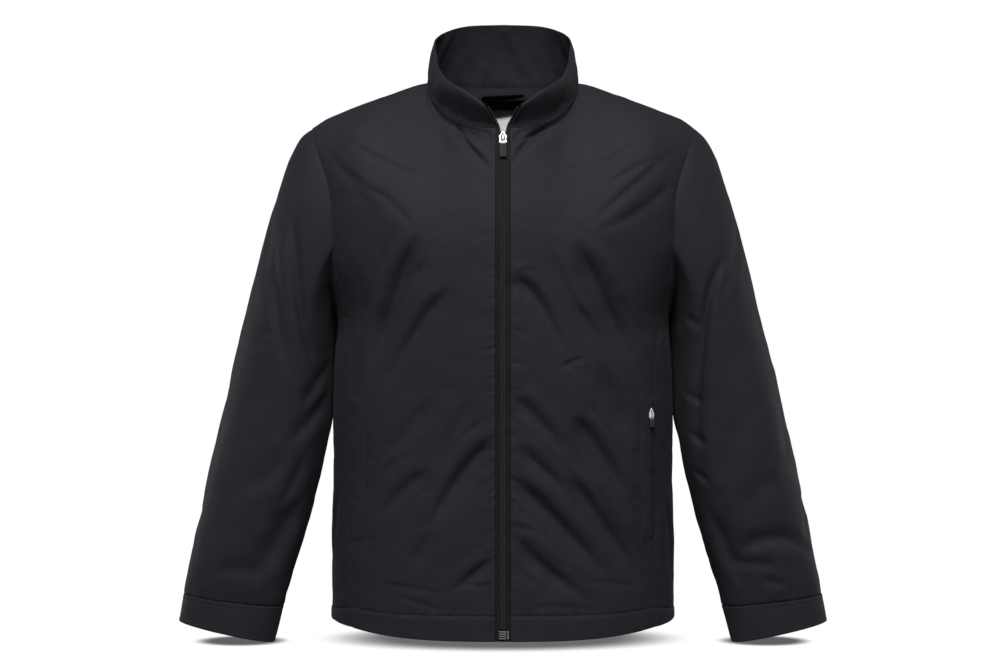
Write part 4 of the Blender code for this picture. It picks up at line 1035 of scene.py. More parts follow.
def hem_relief(points, seed):
    """How far the hem's two layers stand out, with the stitching sunk between them and the cloth above
    gathered by it."""
    z = points[..., 2]
    first = len(HEM_ROWS)
    stitch = z[first : first + 1]
    above = z - stitch
    sunk = -0.0007 * bell(above, 0.0014)
    band = 0.0006 * (1 - ease(above, -0.0030, 0.0))
    line = points[..., 0] - points[..., 1] * np.sign(points[..., 0]) * 0.8
    pulled = gathers(line, np.abs(above), 0.019, 0.013, seed) * 0.0004
    creases = puckers(line, np.clip(above, 0, 1), seed + 2, 0.0095, 0.019, 0.0024, 0.00085, 0.7)
    pulled = pulled + creases * ease(above, -0.004, 0.0)
    return sunk + band + pulled


def seam_relief(across, up_along, seed, size=0.022, reach=0.014, strength=0.0005):
    """The pull of a seam on one panel: across is the distance from it and up_along the distance along it."""
    return gathers(up_along, across, size, reach, seed) * strength


# ---- cloth pieces -------------------------------------------------------------------------------

# panels that meet at a seam share its seed, so that it pulls both of them alike
SIDE_SEED = {"right": 300, "left": 340}
SHOULDER_SEED = 396


def front_surface(side):
    """A front's outer points for the wearer's left, mirrored later for the right, with its folds in."""
    points = half_panel("front")
    direct = body_direction(points)
    x, _, z = np.moveaxis(points, -1, 0)
    across, up = spans(points, 1), spans(points, 0)
    from_zip, from_side = across, across[:, -1:] - across
    from_top = up[-1:] - up
    seed = 11 if side == "right" else 47
    folds = [row[1:] for row in FRONT_FOLDS if row[0] == side]
    at_edges = ease(from_side, 0.002, 0.020) * ease(from_top, 0.001, 0.016)
    at_edges = at_edges * (0.35 + 0.65 * ease(from_zip, 0.0, 0.018))
    at_edges = at_edges * ease(z - z[len(HEM_ROWS)], -0.004, 0.020)
    depth = fold_depth(x, z, attended(folds, seed)) * at_edges
    lumps = crumple(points * MIRROR[side], seed)
    from_seams = np.minimum(from_side, from_zip)
    lumps = lumps * (0.25 + 0.75 * ease(from_seams, 0.0, 0.02)) * ease(from_top, 0.0, 0.02)
    lumps = lumps + crinkle(points, seed + 60) * ease(np.minimum(from_seams, from_top), 0.0, 0.008)
    zip_pull = seam_relief(from_zip, z, seed + 20, 0.024, 0.020, 0.0004)
    strong = ease(z, -0.66, -0.60) * (1 - ease(z, -0.34, -0.24))
    creases = puckers(z, from_zip, seed + 22, 0.0088, 0.021, 0.0017, 0.00105)
    zip_pull = zip_pull + creases * (0.35 + 0.65 * strong)
    side_pull = seam_relief(from_side, z, SIDE_SEED[side], 0.026, 0.014, 0.0004)
    low_side = 1 - ease(z, JUNCTION_Z - 0.03, JUNCTION_Z)
    side_pull = side_pull + puckers(z, from_side, seed + 26, 0.0090, 0.015, 0.0017, 0.00070, 0.5) * low_side
    low, high = WELT_PULL_Z
    beside_welt = (z > low) & (z < high)
    welt_pull = puckers(z, np.abs(x - 0.170), seed + 28, 0.0090, 0.015, 0.0017, 0.00080, 0.4)
    fade = (x < WELT_INNER_X) * ease(z, low, low + 0.015) * (1 - ease(z, high - 0.015, high))
    welt_pull = welt_pull * beside_welt * fade
    welt_pull = welt_pull - 0.0006 * bell(x - WELT_SEAM_X, 0.0018) * beside_welt
    top_pull = seam_relief(from_top, x, SHOULDER_SEED, 0.016, 0.016, 0.0005)
    neck = ease(0.088 - x, 0.0, 0.03)
    top_pull = top_pull + puckers(x * 1.4, from_top, seed + 33, 0.0125, 0.020, 0.0026, 0.00045, -0.5) * neck
    valley = bell(from_top - 0.0150, 0.0095) * ease(0.104 - x, 0.0, 0.03) * ease(from_zip, 0.0, 0.012)
    valley = valley * (0.0044 + 0.0024 * ease(x, 0.025, 0.050))
    top_pull = top_pull - valley * ease(from_top, 0.0, 0.008)
    relief = lumps - depth + zip_pull + side_pull + welt_pull + top_pull
    relief = relief + hem_relief(points, seed + 40)
    return points + direct * relief[..., None], direct


def dress(node, grid, direct, thick, closed=False):
    """The shell cloth of a node, stretched on its solid, which is hidden."""
    piece = shell(f"cloth_{node}", grid, direct, thick, SHELL, closed=closed)
    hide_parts(node)


def hem_thickness(rows, columns):
    """The thickness of each row: two layers at the hem and one above."""
    thick = np.full((rows, columns), CLOTH)
    thick[: len(HEM_ROWS)] = DOUBLE
    return thick


SURFACES = {}


def make_fronts():
    """The two fronts, with stitching beside the zip and above the hem."""
    for side in ("right", "left"):
        points, direct = front_surface(side)
        points, direct = for_side(side, points, direct)
        SURFACES[f"front_{side}"] = (points, direct)
        dress(f"front_{side}", points, direct, hem_thickness(*points.shape[:2]))
        outs = normals(points)
        first = len(HEM_ROWS)
        sew(points[first], outs[first])
        beside = nearest(spans(points[40:41], 1)[0], ZIP_STITCH)
        column = beside if side == "left" else points.shape[1] - 1 - beside
        sew(points[first:, column], outs[first:, column])


def back_surface():
    """The back's outer points, from the wearer's left round to the right, with its folds in."""
    half = half_panel("back", 66, 240)
    left = half[:, ::-1]
    right = half[:, 1:] * np.array([-1.0, 1.0, 1.0])
    points = np.concatenate([left, right], axis=1)
    direct = body_direction(points)
    x, _, z = np.moveaxis(points, -1, 0)
    across, up = spans(points, 1), spans(points, 0)
    from_left, from_right = across, across[:, -1:] - across
    from_top = up[-1:] - up
    from_side = np.minimum(from_left, from_right)
    at_edges = ease(from_side, 0.002, 0.020) * ease(from_top, 0.001, 0.016)
    at_edges = at_edges * ease(z - z[len(HEM_ROWS)], -0.004, 0.020)
    depth = fold_depth(x, z, attended(BACK_FOLDS, 5)) * at_edges
    lumps = crumple(points, 90) * (0.25 + 0.75 * ease(from_side, 0.0, 0.02)) * ease(from_top, 0.0, 0.02)
    lumps = lumps + crinkle(points, 150) * ease(np.minimum(from_side, from_top), 0.0, 0.008)
    side_pull = seam_relief(from_left, z, SIDE_SEED["left"], 0.026, 0.014, 0.0004)
    side_pull = side_pull + seam_relief(from_right, z, SIDE_SEED["right"], 0.026, 0.014, 0.0004)
    low_side = 1 - ease(z, JUNCTION_Z - 0.03, JUNCTION_Z)
    side_pull = side_pull + puckers(z, from_side, 126, 0.0125, 0.016, 0.0020, 0.0005, 0.5) * low_side
    top_pull = seam_relief(from_top, x, SHOULDER_SEED, 0.016, 0.016, 0.0005)
    neck = ease(0.088 - np.abs(x), 0.0, 0.03)
    top_pull = top_pull + puckers(np.abs(x) * 1.2, from_top, 133, 0.0125, 0.022, 0.0024, 0.0005, -0.3) * neck
    relief = lumps - depth + side_pull + top_pull + hem_relief(points, 120)
    points = points + direct * relief[..., None]
    # the shoulder seams' allowance goes on under the fronts, and next to none of it at the neck
    shoulder = ease(np.abs(x[-1]), NECK_HALF, NECK_HALF + 0.012)
    under = np.stack([0 * x[-1], -0.005 * shoulder - 0.0002, 0 * x[-1]], axis=-1)[None]
    sink = 0.0014 * shoulder[None, :, None]
    return tucked(points, direct, "high", under, sink)


def make_back():
    """The back, in one piece."""
    points, direct = back_surface()
    SURFACES["back"] = (points, direct)
    dress("back", points, direct, hem_thickness(*points.shape[:2]))
    first = len(HEM_ROWS)
    sew(points[first], normals(points)[first])


def side_points(columns=44):
    """The wearer's left side panel, from its front seam round to its back seam."""
    front, back = half_panel("front", 4), half_panel("back", 4)
    k = graded(columns, 0.17)
    swing = np.sin(np.pi * k)
    top = JUNCTION_Z - (JUNCTION_Z - ARMPIT_Z) * swing**0.75
    hem = front[0, -1, 2] + (back[0, -1, 2] - front[0, -1, 2]) * k + 0.002 * swing
    band = HEM_BAND[1] + (HEM_BAND[2] - HEM_BAND[1]) * swing
    stitch = hem + band
    rise = graded(130, 0.42, (0.0004, 0.0010, 0.0018, 0.0028, 0.004))[:, None]
    z = np.concatenate([hem + HEM_ROWS[:, None] * band, stitch + rise * (top - stitch)])
    ends = []
    for column, sign in ((1, -1), (2, 1)):
        ratio = along(EDGES, column, z) / along(TORSO, 1, z)
        ends.append(sign * np.arccos(np.clip(ratio, 0, 1) ** (ROUND / 2)))
    angle = ends[0] * (1 - k) + ends[1] * k
    x = along(TORSO, 1, z) * np.cos(angle) ** (2 / ROUND)
    depth = np.where(angle < 0, along(TORSO, 2, z), along(TORSO, 3, z))
    y = np.sign(angle) * depth * np.abs(np.sin(angle)) ** (2 / ROUND)
    return np.stack([x, y, z], axis=-1)


def contact(x, y, z):
    """1 where a sleeve lies against the body's side below the armhole, and 0 away from there."""
    low, high = TOUCH_LOW_Z
    fade = ease(z, low, high) * (1 - ease(z, ARMPIT_Z - 0.003, ARMPIT_Z + 0.003))
    inner = 1 - ease(x - along(TORSO, 1, z), 0.014, 0.032)
    return fade * inner * ease(y, -0.034, -0.012) * (1 - ease(y, 0.024, 0.056))


def pressed(points):
    """A sleeve, for the wearer's left, pressed flat where it lies against the body: on a plane just
    outside the body's widest line, which opens a little backwards."""
    x, y, z = np.moveaxis(points, -1, 0)
    plane = along(TORSO, 1, z) + TOUCH_OUT + TOUCH_GAP + 0.09 * np.maximum(y, 0)
    shift = (plane - x) * contact(x, y, z)
    return points + np.array([1.0, 0.0, 0.0]) * shift[..., None]


def make_sides():
    """The two side panels."""
    points = side_points()
    z = points[..., 2]
    direct = body_direction(points)
    across, up = spans(points, 1), spans(points, 0)
    from_front, from_back, from_top = across, across[:, -1:] - across, up[-1:] - up
    from_seam = np.minimum(from_front, from_back)
    for side, seed in SIDE_SEED.items():
        folds = [row[1:] for row in SIDE_FOLDS if row[0] == side]
        inside = ease(from_seam, 0.002, 0.016) * ease(from_top, 0.001, 0.02)
        depth = fold_depth(points[..., 1], z, folds) * inside * ease(up, 0.02, 0.045)
        lumps = crumple(points * MIRROR[side], seed + 3, 0.05) * inside
        pull = seam_relief(from_front, z, seed, 0.026, 0.014, 0.0006)
        pull = pull + seam_relief(from_back, z, seed, 0.026, 0.014, 0.0006)
        pull = pull + puckers(z, from_seam, seed + 5, 0.0125, 0.016, 0.002, 0.0005, 0.5)
        lumps = lumps + crinkle(points, seed + 70)
        pull = pull - 0.0006 * bell(from_seam, 0.0022)
        relief = lumps - depth + pull + hem_relief(points, seed + 9)
        lying = contact(*np.moveaxis(points, -1, 0))
        relief = relief * (1 - lying) + (TOUCH_OUT - TOUCH_GAP) * lying
        moved, out = points + direct * relief[..., None], direct
        sink = (hem_thickness(len(points), 1) + 0.0001 - 0.0006)[..., None]
        for edge, column, beside in (("first", 0, 1), ("last", -1, -2)):
            away = unit(points[:, column] - points[:, beside])[:, None] * 0.006
            moved, out = tucked(moved, out, edge, away, sink)
        grid, out = for_side(side, moved, out)
        SURFACES[f"side_{side}"] = (grid, out)
        dress(f"side_{side}", grid, out, hem_thickness(*grid.shape[:2]))
        first = len(HEM_ROWS)
        sew(grid[first], normals(grid)[first])


def tube_ring(row, angles):
    """Rings of the sleeve or cuff: each row of the table gives its outer and inner points, and the
    angles run from the outer point forwards and round."""
    outer_x, outer_z, inner_x, inner_z, deep, middle_y = (np.asarray(v)[..., None] for v in row)
    c, s = np.cos(angles), np.sin(angles)
    c, s = (np.sign(t) * np.abs(t) ** (2 / 2.15) for t in (c, s))
    x = (outer_x + inner_x) / 2 + c * (outer_x - inner_x) / 2
    z = (outer_z + inner_z) / 2 + c * (outer_z - inner_z) / 2
    return np.stack(np.broadcast_arrays(x, middle_y - s * deep, z), axis=-1)


def armhole_ring(count=150):
    """The armhole's points on the wearer's left, once round: from the shoulder tip down the front,
    along the side panel's top and up the back."""
    down = np.linspace(TIP_Z, JUNCTION_Z, 200)
    front_x, back_x = along(EDGES, 1, down), along(EDGES, 2, down)
    front = np.stack([front_x, -panel_form(front_x, down, "front"), down], axis=-1)
    back = np.stack([back_x, panel_form(back_x, down, "back"), down], axis=-1)
    under = side_points(120)[-1]
    ring = np.concatenate([front, under[1:-1], back[::-1]])
    run = run_along(ring)
    return sampled(np.linspace(0, run[-1], count, endpoint=False), run, ring)


def ring_angles(ring):
    """The angle of each armhole point about the first ring's middle."""
    _, outer_x, outer_z, inner_x, inner_z, deep, middle_y = SLEEVE[0]
    across = np.array([(outer_x - inner_x) / 2, 0, (outer_z - inner_z) / 2])
    middle = np.array([(outer_x + inner_x) / 2, middle_y, (outer_z + inner_z) / 2])
    to = ring - middle
    return np.unwrap(np.arctan2(-to[:, 1] / deep, to @ across / (across @ across)))


def sleeve_surface(side, rows=130):
    """A sleeve's outer points for the wearer's left, from the cuff up to the armhole, with its folds in."""
    hole = armhole_ring()
    start = ring_angles(hole)
    even = np.linspace(0, 2 * np.pi, len(hole), endpoint=False)
    miss = hole - tube_ring([np.array(v) for v in SLEEVE[0][1:]], start)
    place = graded(rows, 0.6, (0.0003, 0.0008, 0.0015, 0.0025, 0.004))
    table = [along(SLEEVE, k, place) for k in range(1, 7)]
    angles = start + (even - start) * ease(place, 0.0, 0.5)[:, None]
    points = tube_ring(table, angles) + miss * (1 - ease(place, 0.0, 0.30))[:, None, None]
    points, angles, place = points[::-1, ::-1], angles[::-1, ::-1], place[::-1]
    direct = normals(points, closed=True)
    girth = np.linalg.norm(np.roll(points, -1, axis=1) - points, axis=-1).sum(1)
    length = spans(points, 0)
    folds = []
    for owner, a0, s0, a1, s1, a2, s2, width, deep in SLEEVE_FOLDS:
        if owner in (side, "both"):
            turn, nudge = (7, 0.025) if owner == "both" and side == "left" else (0, 0.0)
            folds.append((a0 + turn, s0 + nudge, a1 + turn, s1, a2 + turn, s2 + nudge, width, deep))
    reach = SLEEVE_LENGTH
    depth = np.zeros(points.shape[:2])
    degrees = np.degrees(angles)
    for a0, s0, centre, s1, a2, s2, width, deep in folds:
        at = (s0 + s1 + s2) / 3
        around = float(np.interp(at, place[::-1], girth[::-1])) / 360
        turned = wrapped(degrees, centre) * around
        low, high = (a0 - centre) * around, (a2 - centre) * around
        line = [low, s0 * reach, 0.0, s1 * reach, high, s2 * reach, width, deep]
        depth += fold_depth(turned, np.broadcast_to(place[:, None] * reach, depth.shape), [line])
    from_cuff, from_top = length, length[-1:] - length
    seed = 500 if side == "right" else 560
    depth = depth * ease(from_cuff, 0.001, 0.014) * ease(from_top, 0.001, 0.022)
    lumps = crumple(points * MIRROR[side], seed, 0.065, 0.0012)
    lumps = lumps * (0.3 + 0.7 * ease(from_cuff, 0.0, 0.02)) * (0.15 + 0.85 * ease(from_top, 0.0, 0.025))
    lumps = lumps + crinkle(points, seed + 80) * ease(np.minimum(from_cuff, from_top), 0.0, 0.008)
    cuff_pull = gathers(angles * 0.06, from_cuff, 0.017, 0.020, seed + 3) * 0.0008
    cuff_pull = cuff_pull + puckers(angles * 0.055, from_cuff, seed + 4, 0.0125, 0.030, 0.0024, 0.0008, 0.5)
    cuff_pull = cuff_pull - 0.0008 * bell(from_cuff, 0.0016)
    top_pull = gathers(angles * 0.09, from_top, 0.020, 0.018, seed + 6) * 0.0006
    top_pull = top_pull + puckers(angles * 0.09, from_top, seed + 8, 0.0135, 0.018, 0.0022, 0.00045, 0.3)
    top_pull = top_pull - 0.0007 * bell(from_top, 0.0025)
    seam_away = np.abs(wrapped(degrees, UNDER_SEAM)) * girth[:, None] / 360
    seam = -0.0006 * bell(seam_away, 0.0012)
    seam_pull = gathers(length, seam_away, 0.024, 0.014, seed + 9) * 0.0006
    relief = lumps - depth + cuff_pull + top_pull + seam + seam_pull
    points = pressed(points + direct * relief[..., None])
    points, direct = tucked(points, direct, "low", np.array([0.0014, 0.0, -0.0045]), 0.0019)
    return tucked(points, direct, "high", np.array([-0.009, 0.0, 0.0]), 0.0004)


def make_sleeves():
    """The two sleeves and their cuffs."""
    for side in ("right", "left"):
        points, direct = sleeve_surface(side)
        points, direct = for_side(side, points, direct)
        SURFACES[f"sleeve_{side}"] = (points, direct)
        dress(f"sleeve_{side}", points, direct, CLOTH, closed=True)
        make_cuff(side)


def make_cuff(side, columns=150):
    """A cuff: a doubled band, a little wider than the sleeve's end, with stitching along both edges."""
    angles = np.linspace(0, 2 * np.pi, columns, endpoint=False)
    place = 1 - graded(20, 0.04, (0.0002, 0.0006, 0.0012, 0.0020, 0.0032))
    table = [along(CUFF, k, place) for k in range(1, 7)]
    points = tube_ring(table, np.broadcast_to(angles, (len(place), columns)))
    points = points[:, ::-1]
    angles = np.broadcast_to(angles[::-1], points.shape[:2])
    seed = 620 if side == "right" else 640
    up = spans(points, 0)
    relief = gathers(angles * 0.06, up[-1:] - up, 0.02, 0.018, seed) * 0.0006
    relief = relief + 0.0004 * noise(points, 0.03, seed + 2)
    for away in (up, up[-1:] - up):
        relief = relief - 0.00028 * bell(away - CUFF_STITCH, 0.0011)
    direct = normals(points, closed=True)
    points = points + direct * relief[..., None]
    points, direct = for_side(side, points, direct)
    dress(f"cuff_{side}", points, direct, DOUBLE, closed=True)
    outs = normals(points, closed=True)
    for target in (CUFF_STITCH, float(up[-1].mean()) - CUFF_STITCH):
        row = nearest(up.mean(1), target)
        loop = np.concatenate([points[row], points[row][:1]])
        sew(loop, np.concatenate([outs[row], outs[row][:1]]))


def neck_curve(share):
    """Points of the neck seam, by their place round the collar: 0 at the centre back, 1 at the zip on
    the wearer's left and -1 on the right."""
    place = np.abs(share)
    back = math.pi / 2 * np.clip(1 - 2 * place, 0, 1)
    front = NECK_ANGLE * np.clip(2 * place - 1, 0, 1)
    x = NECK_HALF * np.cos(np.where(place < 0.5, back, front)) * np.sign(share)
    y = np.where(place < 0.5, NECK_BACK * np.sin(back), -NECK_FRONT * np.sin(front))
    z = NECK_Z + np.where(place < 0.5, NECK_RISE * np.sin(back), -NECK_DROP * np.sin(front))
    return np.stack([x, y, z], axis=-1)


def collar_surface():
    """The collar's outer points, from the zip on the wearer's left round the back to the zip on the right."""
    share = 1 - 2 * graded(190, 0.55)
    share = np.where(share == 0, 1e-9, share)
    base = neck_curve(share)
    top = np.stack([along(COLLAR_TOP, k, np.abs(share)) for k in (1, 2, 3)], axis=-1)
    top[:, 0] *= np.sign(share)
    v = graded(38, 0.07, (0.0003, 0.0008, 0.0015, 0.0025, 0.0038))[:, None, None]
    points = base + (top - base) * v
    level = unit(points * np.array([1.0, 1.0, 0.0]))
    ahead = ease(np.abs(share), 0.55, 0.80)[None, :, None]
    bow = COLLAR_BOW * 4 * v * (1 - v) * (1 - ahead) + COLLAR_LEAN * 2.94 * v**1.6 * (1 - v) ** 0.45 * ahead
    points = points + level * bow
    return points, share


def make_collar():
    """The stand collar: doubled cloth with a rounded top edge, stitched along its edges."""
    points, share = collar_surface()
    direct = normals(points)
    if direct[len(direct) // 2, len(direct[0]) // 2, 1] < 0:
        direct = -direct
    up = spans(points, 0)
    from_top = up[-1:] - up
    across = spans(points, 1)
    from_end = np.minimum(across, across[:, -1:] - across)
    inside = ease(np.minimum(up, from_end), 0.0, 0.012)
    around = share[None, :] * COLLAR_HALF_LENGTH
    relief = crumple(points, 700, 0.034, 0.0011) * inside
    relief = relief + gathers(around, up, 0.015, 0.016, 706) * 0.0007 * ease(from_end, 0, 0.01)
    relief = relief - 0.00025 * bell(from_top - COLLAR_STITCH, 0.0012)
    for where, lean, wide, deep in COLLAR_FOLDS:
        line = where + lean * (up - 0.02)
        relief = relief - deep * bell(around - line, wide) * inside * ease(from_top, 0.0, 0.012)
    points = points + direct * relief[..., None]
    SURFACES["collar"] = (points, direct)
    lap = 0.0009 * bell(up, 0.0030) * ease(from_end, 0.0, 0.004)
    points = points + direct * lap[..., None] - np.array([0.0, 0.0, 1.0]) * lap[..., None]
    # one layer of the collar goes on below the seam, inside the neck, further down at the back
    down = 0.006 + 0.016 * (1 - ease(np.abs(share), 0.30, 0.55))
    shift = -down[None, :, None] * np.array([0.0, 0.0, 1.0])
    allowance, out = tucked(points, direct, "low", shift, 0.0024, (0.12, 0.3, 0.6, 1.0))
    thick = np.full(allowance.shape[:2], DOUBLE)
    thick[:4] = CLOTH
    dress("collar", allowance, out, thick)
    row = nearest(from_top.mean(1), COLLAR_STITCH)
    sew(points[row], direct[row])


# ---- zip ----------------------------------------------------------------------------------------


def strip(name, rows_of_points, material):
    """A closed bar swept along stations, each a ring of the same number of points."""
    ring = np.asarray(rows_of_points)
    rows, count = ring.shape[:2]
    index = np.arange(rows * count).reshape(rows, count)
    faces = grid_quads(index, True)
    lengths = spans(ring, 0).mean(1)
    around = run_along(ring[0])
    uv = np.stack(np.broadcast_arrays(around[None, :], lengths[:, None]), axis=-1).reshape(-1, 2)
    piece = mesh_piece(name, ring.reshape(-1, 3), faces, material, uv)
    return piece


def zip_line(side):
    """One half of the zip, as if on the wearer's left, at many stations: its teeth's line, the cloth's
    edge beside them, the way across the cloth and the way out."""
    points, collar = SURFACES[f"front_{side}"][0], SURFACES["collar"][0]
    points, collar = for_side(side, points, collar)
    if collar[0, 0, 0] < 0:
        collar = collar[:, ::-1]
    heights = np.arange(TAPE_LOW_Z, -0.0685, 0.0015)
    column = points[:, 0]
    order = np.argsort(column[:, 2])
    edge = averaged(sampled(heights, column[order, 2], column[order]), 9)
    edge[:, 2] = heights
    slope = np.gradient(edge, axis=0)
    shift = along(ZIP_PARTING, 1, heights)
    teeth = np.stack([shift, edge[:, 1], heights], axis=-1)
    edge[:, 0] = np.maximum(ZIP_HALF - 0.0003 * ease(heights, -0.09, -0.07), shift + TEETH_TO_CLOTH)
    out = unit(np.cross(np.array([1.0, 0, 0]), unit(slope * np.array([0.0, 1.0, 1.0]))))
    low, top = collar[0, 0], collar[-1, 0]
    v = np.linspace(0.03, 0.97, 22)[:, None]
    collar_edge = low + (top - low) * v
    beside = collar[0, 12] + (collar[-1, 12] - collar[0, 12]) * v
    inwards = unit(beside - collar_edge)
    collar_out = unit(np.cross(unit(top - low), inwards))
    collar_out = np.where(collar_out[:, 1:2] < 0, collar_out, -collar_out)
    collar_teeth = collar_edge - inwards * TEETH_TO_CLOTH
    teeth = np.concatenate([teeth, collar_teeth])
    edge = np.concatenate([edge, collar_edge])
    out = unit(np.concatenate([out, collar_out]))
    at_seam = slice(len(heights) - 6, len(heights) + 6)
    for grid in (teeth, edge, out):
        grid[at_seam] = averaged(grid, 7)[at_seam]
    return teeth, edge, unit(edge - teeth), unit(out)


def coil_solid(rings=7, sides=8):
    """One tooth: a loop of the coil, seen as a rounded bar that swells where it meets its neighbour."""
    t = np.linspace(-1, 1, rings)
    a = np.arange(sides) * 2 * np.pi / sides
    thick = 0.00052 * np.sqrt(np.clip(1.05 - t**6, 0.04, 1))[:, None]
    x = 0.00145 + 0.00125 * t
    bend = 0.00016 * np.cos(np.pi * t)[:, None]
    points = np.stack(
        np.broadcast_arrays(x[:, None], bend + thick * 0.92 * np.cos(a), thick * np.sin(a) - 0.00005), axis=-1
    ).reshape(-1, 3)
    return points, grid_quads(np.arange(rings * sides).reshape(rings, sides), True)[:, ::-1]


def make_zip():
    """The front zip's tapes and teeth, with the cord of stitching that holds the teeth."""
    for side in ("right", "left"):
        teeth, edge, across, out = zip_line(side)
        sign = MIRROR[side]
        inner = teeth - across * (0.0006 if side == "right" else -0.0001)
        depth = 0.0018 if side == "right" else 0.0014
        far = edge + across * 0.0035
        ring = [
            inner - out * depth,
            inner + across * 0.0030 - out * (depth - 0.00015),
            edge - out * (depth + 0.0002),
            far - out * (CLOTH + 0.0010),
            far - out * (CLOTH + 0.0018),
            edge - out * (depth + 0.0010),
            inner - out * (depth + 0.0008),
        ]
        ring = np.array(ring).transpose(1, 0, 2) * sign
        if side == "right":
            ring = ring[:, ::-1]
        tape = strip(f"tape_{side}", ring[:, ::-1], TAPE)
        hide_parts(f"zip_tape_{side}")
        low = int(np.searchsorted(teeth[:, 2], ZIP_LOW_Z))
        where, outs, ahead = resampled(teeth[low:], out[low:], 0.0013, 0.00065 if side == "right" else 0.0)
        at = np.linspace(low, len(teeth) - 1, len(where))
        acrosses = unit(sampled(at, np.arange(len(teeth)), across))
        solid, faces = coil_solid()
        points, faces = copies(solid, faces, where - outs * 0.0008, acrosses, ahead, outs)
        if side == "right":
            points, faces = points * sign, faces[:, ::-1]
        coil = mesh_piece(f"teeth_{side}", points, faces, COIL)
        for away in (0.0034, 0.0058):
            sew_line = (teeth + across * away - out * (depth - 0.0002)) * sign
            sew(sew_line, out * sign, 0.0016, 0.0005, 0.0004)


def make_stitches():
    """All the stitches, as one piece."""
    points, faces = gathered(STITCHES)
    piece = mesh_piece("stitching", points, faces, THREAD)


# ---- pockets and labels -------------------------------------------------------------------------


def make_welts():
    """The pocket welts: bands of the fronts' own points, moved out, with a stitched inner edge;
    and the left one's zip."""
    for side in ("right", "left"):
        points, direct = SURFACES[f"front_{side}"]
        points, direct = for_side(side, points, direct)
        z = points[:, -3, 2]
        low_row, high_row = (nearest(z, at) for at in WELT_Z)
        x = points[(low_row + high_row) // 2, :, 0]
        first, last = nearest(x, WELT_INNER_X), nearest(x, WELT_OUTER_X[side])
        seed = 800 if side == "right" else 830
        rows = (low_row, high_row)
        build_band(f"cloth_welt_{side}", side, points, direct, rows, (first, last), 0.0010, SHELL, seed)
        if side == "left":
            end = nearest(x, POCKET_TAPE_X)
            build_band("tape_pocket", side, points, direct, rows, (last, end), 0.0009, POCKET_TAPE, 860)


def build_band(name, side, points, direct, rows, columns, thick, material, seed):
    """A band laid on a stretch of a front: the front's points, made finer across and moved out."""
    patch = points[rows[0] : rows[1] + 1, columns[0] : columns[1] + 1]
    out = direct[rows[0] : rows[1] + 1, columns[0] : columns[1] + 1]
    old = np.linspace(0, 1, patch.shape[1])
    new = graded(10, 0.016, (0.0002, 0.0006, 0.0012))
    patch = np.stack([sampled(new, old, row) for row in patch])
    out = unit(np.stack([sampled(new, old, row) for row in out]))
    across, up = spans(patch, 1), spans(patch, 0)
    cloth = material is SHELL
    relief = (0.0004 + thick) + (gathers(up, across, 0.02, 0.012, seed) * 0.0004 if cloth else 0.0)
    if cloth:
        relief = relief - 0.0003 * bell(across - WELT_STITCH, 0.0010)
    ends = np.minimum(up, up[-1:] - up)
    flush = ease(ends, 0.0, 0.019)
    relief = relief * flush - 0.0010 * (1 - flush)
    grid = patch + out * relief[..., None]
    grid, out = for_side(side, grid, out)
    thinned = (thick + 0.0002) * (0.4 + 0.6 * ease(ends, 0.0, 0.006))
    piece = shell(name, grid, out, thinned, material)
    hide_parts("pocket_zip" if not cloth else f"welt_{side}")
    if cloth:
        column = nearest(spans(grid, 1)[5], WELT_STITCH)
        column = column if side == "left" else grid.shape[1] - 1 - column
        outs = normals(grid)
        sew(grid[3:-3, column], outs[3:-3, column])


def make_labels():
    """The main label, bare, which bulges out under the neck seam, and the white tab that hangs from
    behind it."""
    for name, node, half, thick, material, slot, sides in (
        ("label_tab", "size_tab", 0.014, 0.0007, TAB, "label_white", TAB_SIDE),
        ("label_main", "neck_label", 0.028, 0.0009, LABEL, "label_black", LABEL_SIDE),
    ):
        low, top = sides[-1][0], sides[0][0]
        z = low + (top - low) * graded(30, abs(top - low), (0.0002, 0.0005, 0.0010))
        x = half * (1 - 2 * graded(30, 2 * half, (0.0002, 0.0005, 0.0010)))[::-1]
        y = along(sides[::-1], 1, z)
        inward = unit(np.stack([0 * z, -1 + 0 * z, np.gradient(y, z)], axis=-1))[:, None, :]
        down = ((top - z) / (top - low))[:, None]
        bowed = y[:, None] - ((x / 0.11) ** 2 * 0.010)[None, :]
        base = np.stack(np.broadcast_arrays(x[None, :], bowed, z[:, None]), axis=-1)
        base[..., 1] -= 0.0008 * np.sin(np.pi * (x / half + 0.2))[None, :] * down**2
        if node == "neck_label":
            base[..., 2] += down * 0.0048 * (x / half)[None, :]
        direct = np.broadcast_to(inward, base.shape)
        piece = shell(name, base[:, ::-1], direct, thick, material)
        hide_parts(node)
        if node == "neck_label":
            sew(base[4], direct[4])
            sew(base[4:-4, 4], direct[4:-4, 4])
            sew(base[4:-4, -5], direct[4:-4, -5])


# ---- sliders, pulls and the box -----------------------------------------------------------------


def solid_place(node):
    """A small solid's middle, the directions across it, up along the cloth and out, and its half sizes:
    the axes its corners spread along, the longest upwards."""
    points = np.array([v.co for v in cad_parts[node].data.vertices])
    up, _, out = np.linalg.svd(points - points.mean(0))[2]
    up, out = up * np.sign(up[2]), -out * np.sign(out[1])
    axes = np.stack([np.cross(up, out), up, out])
    low, high = (points @ axes.T).min(0), (points @ axes.T).max(0)
    return (low + high) / 2 @ axes, axes, (high - low) / 2


def placed(points, place):
    """Points given across, up and out, moved to a place."""
    return place[0] + points @ place[1]


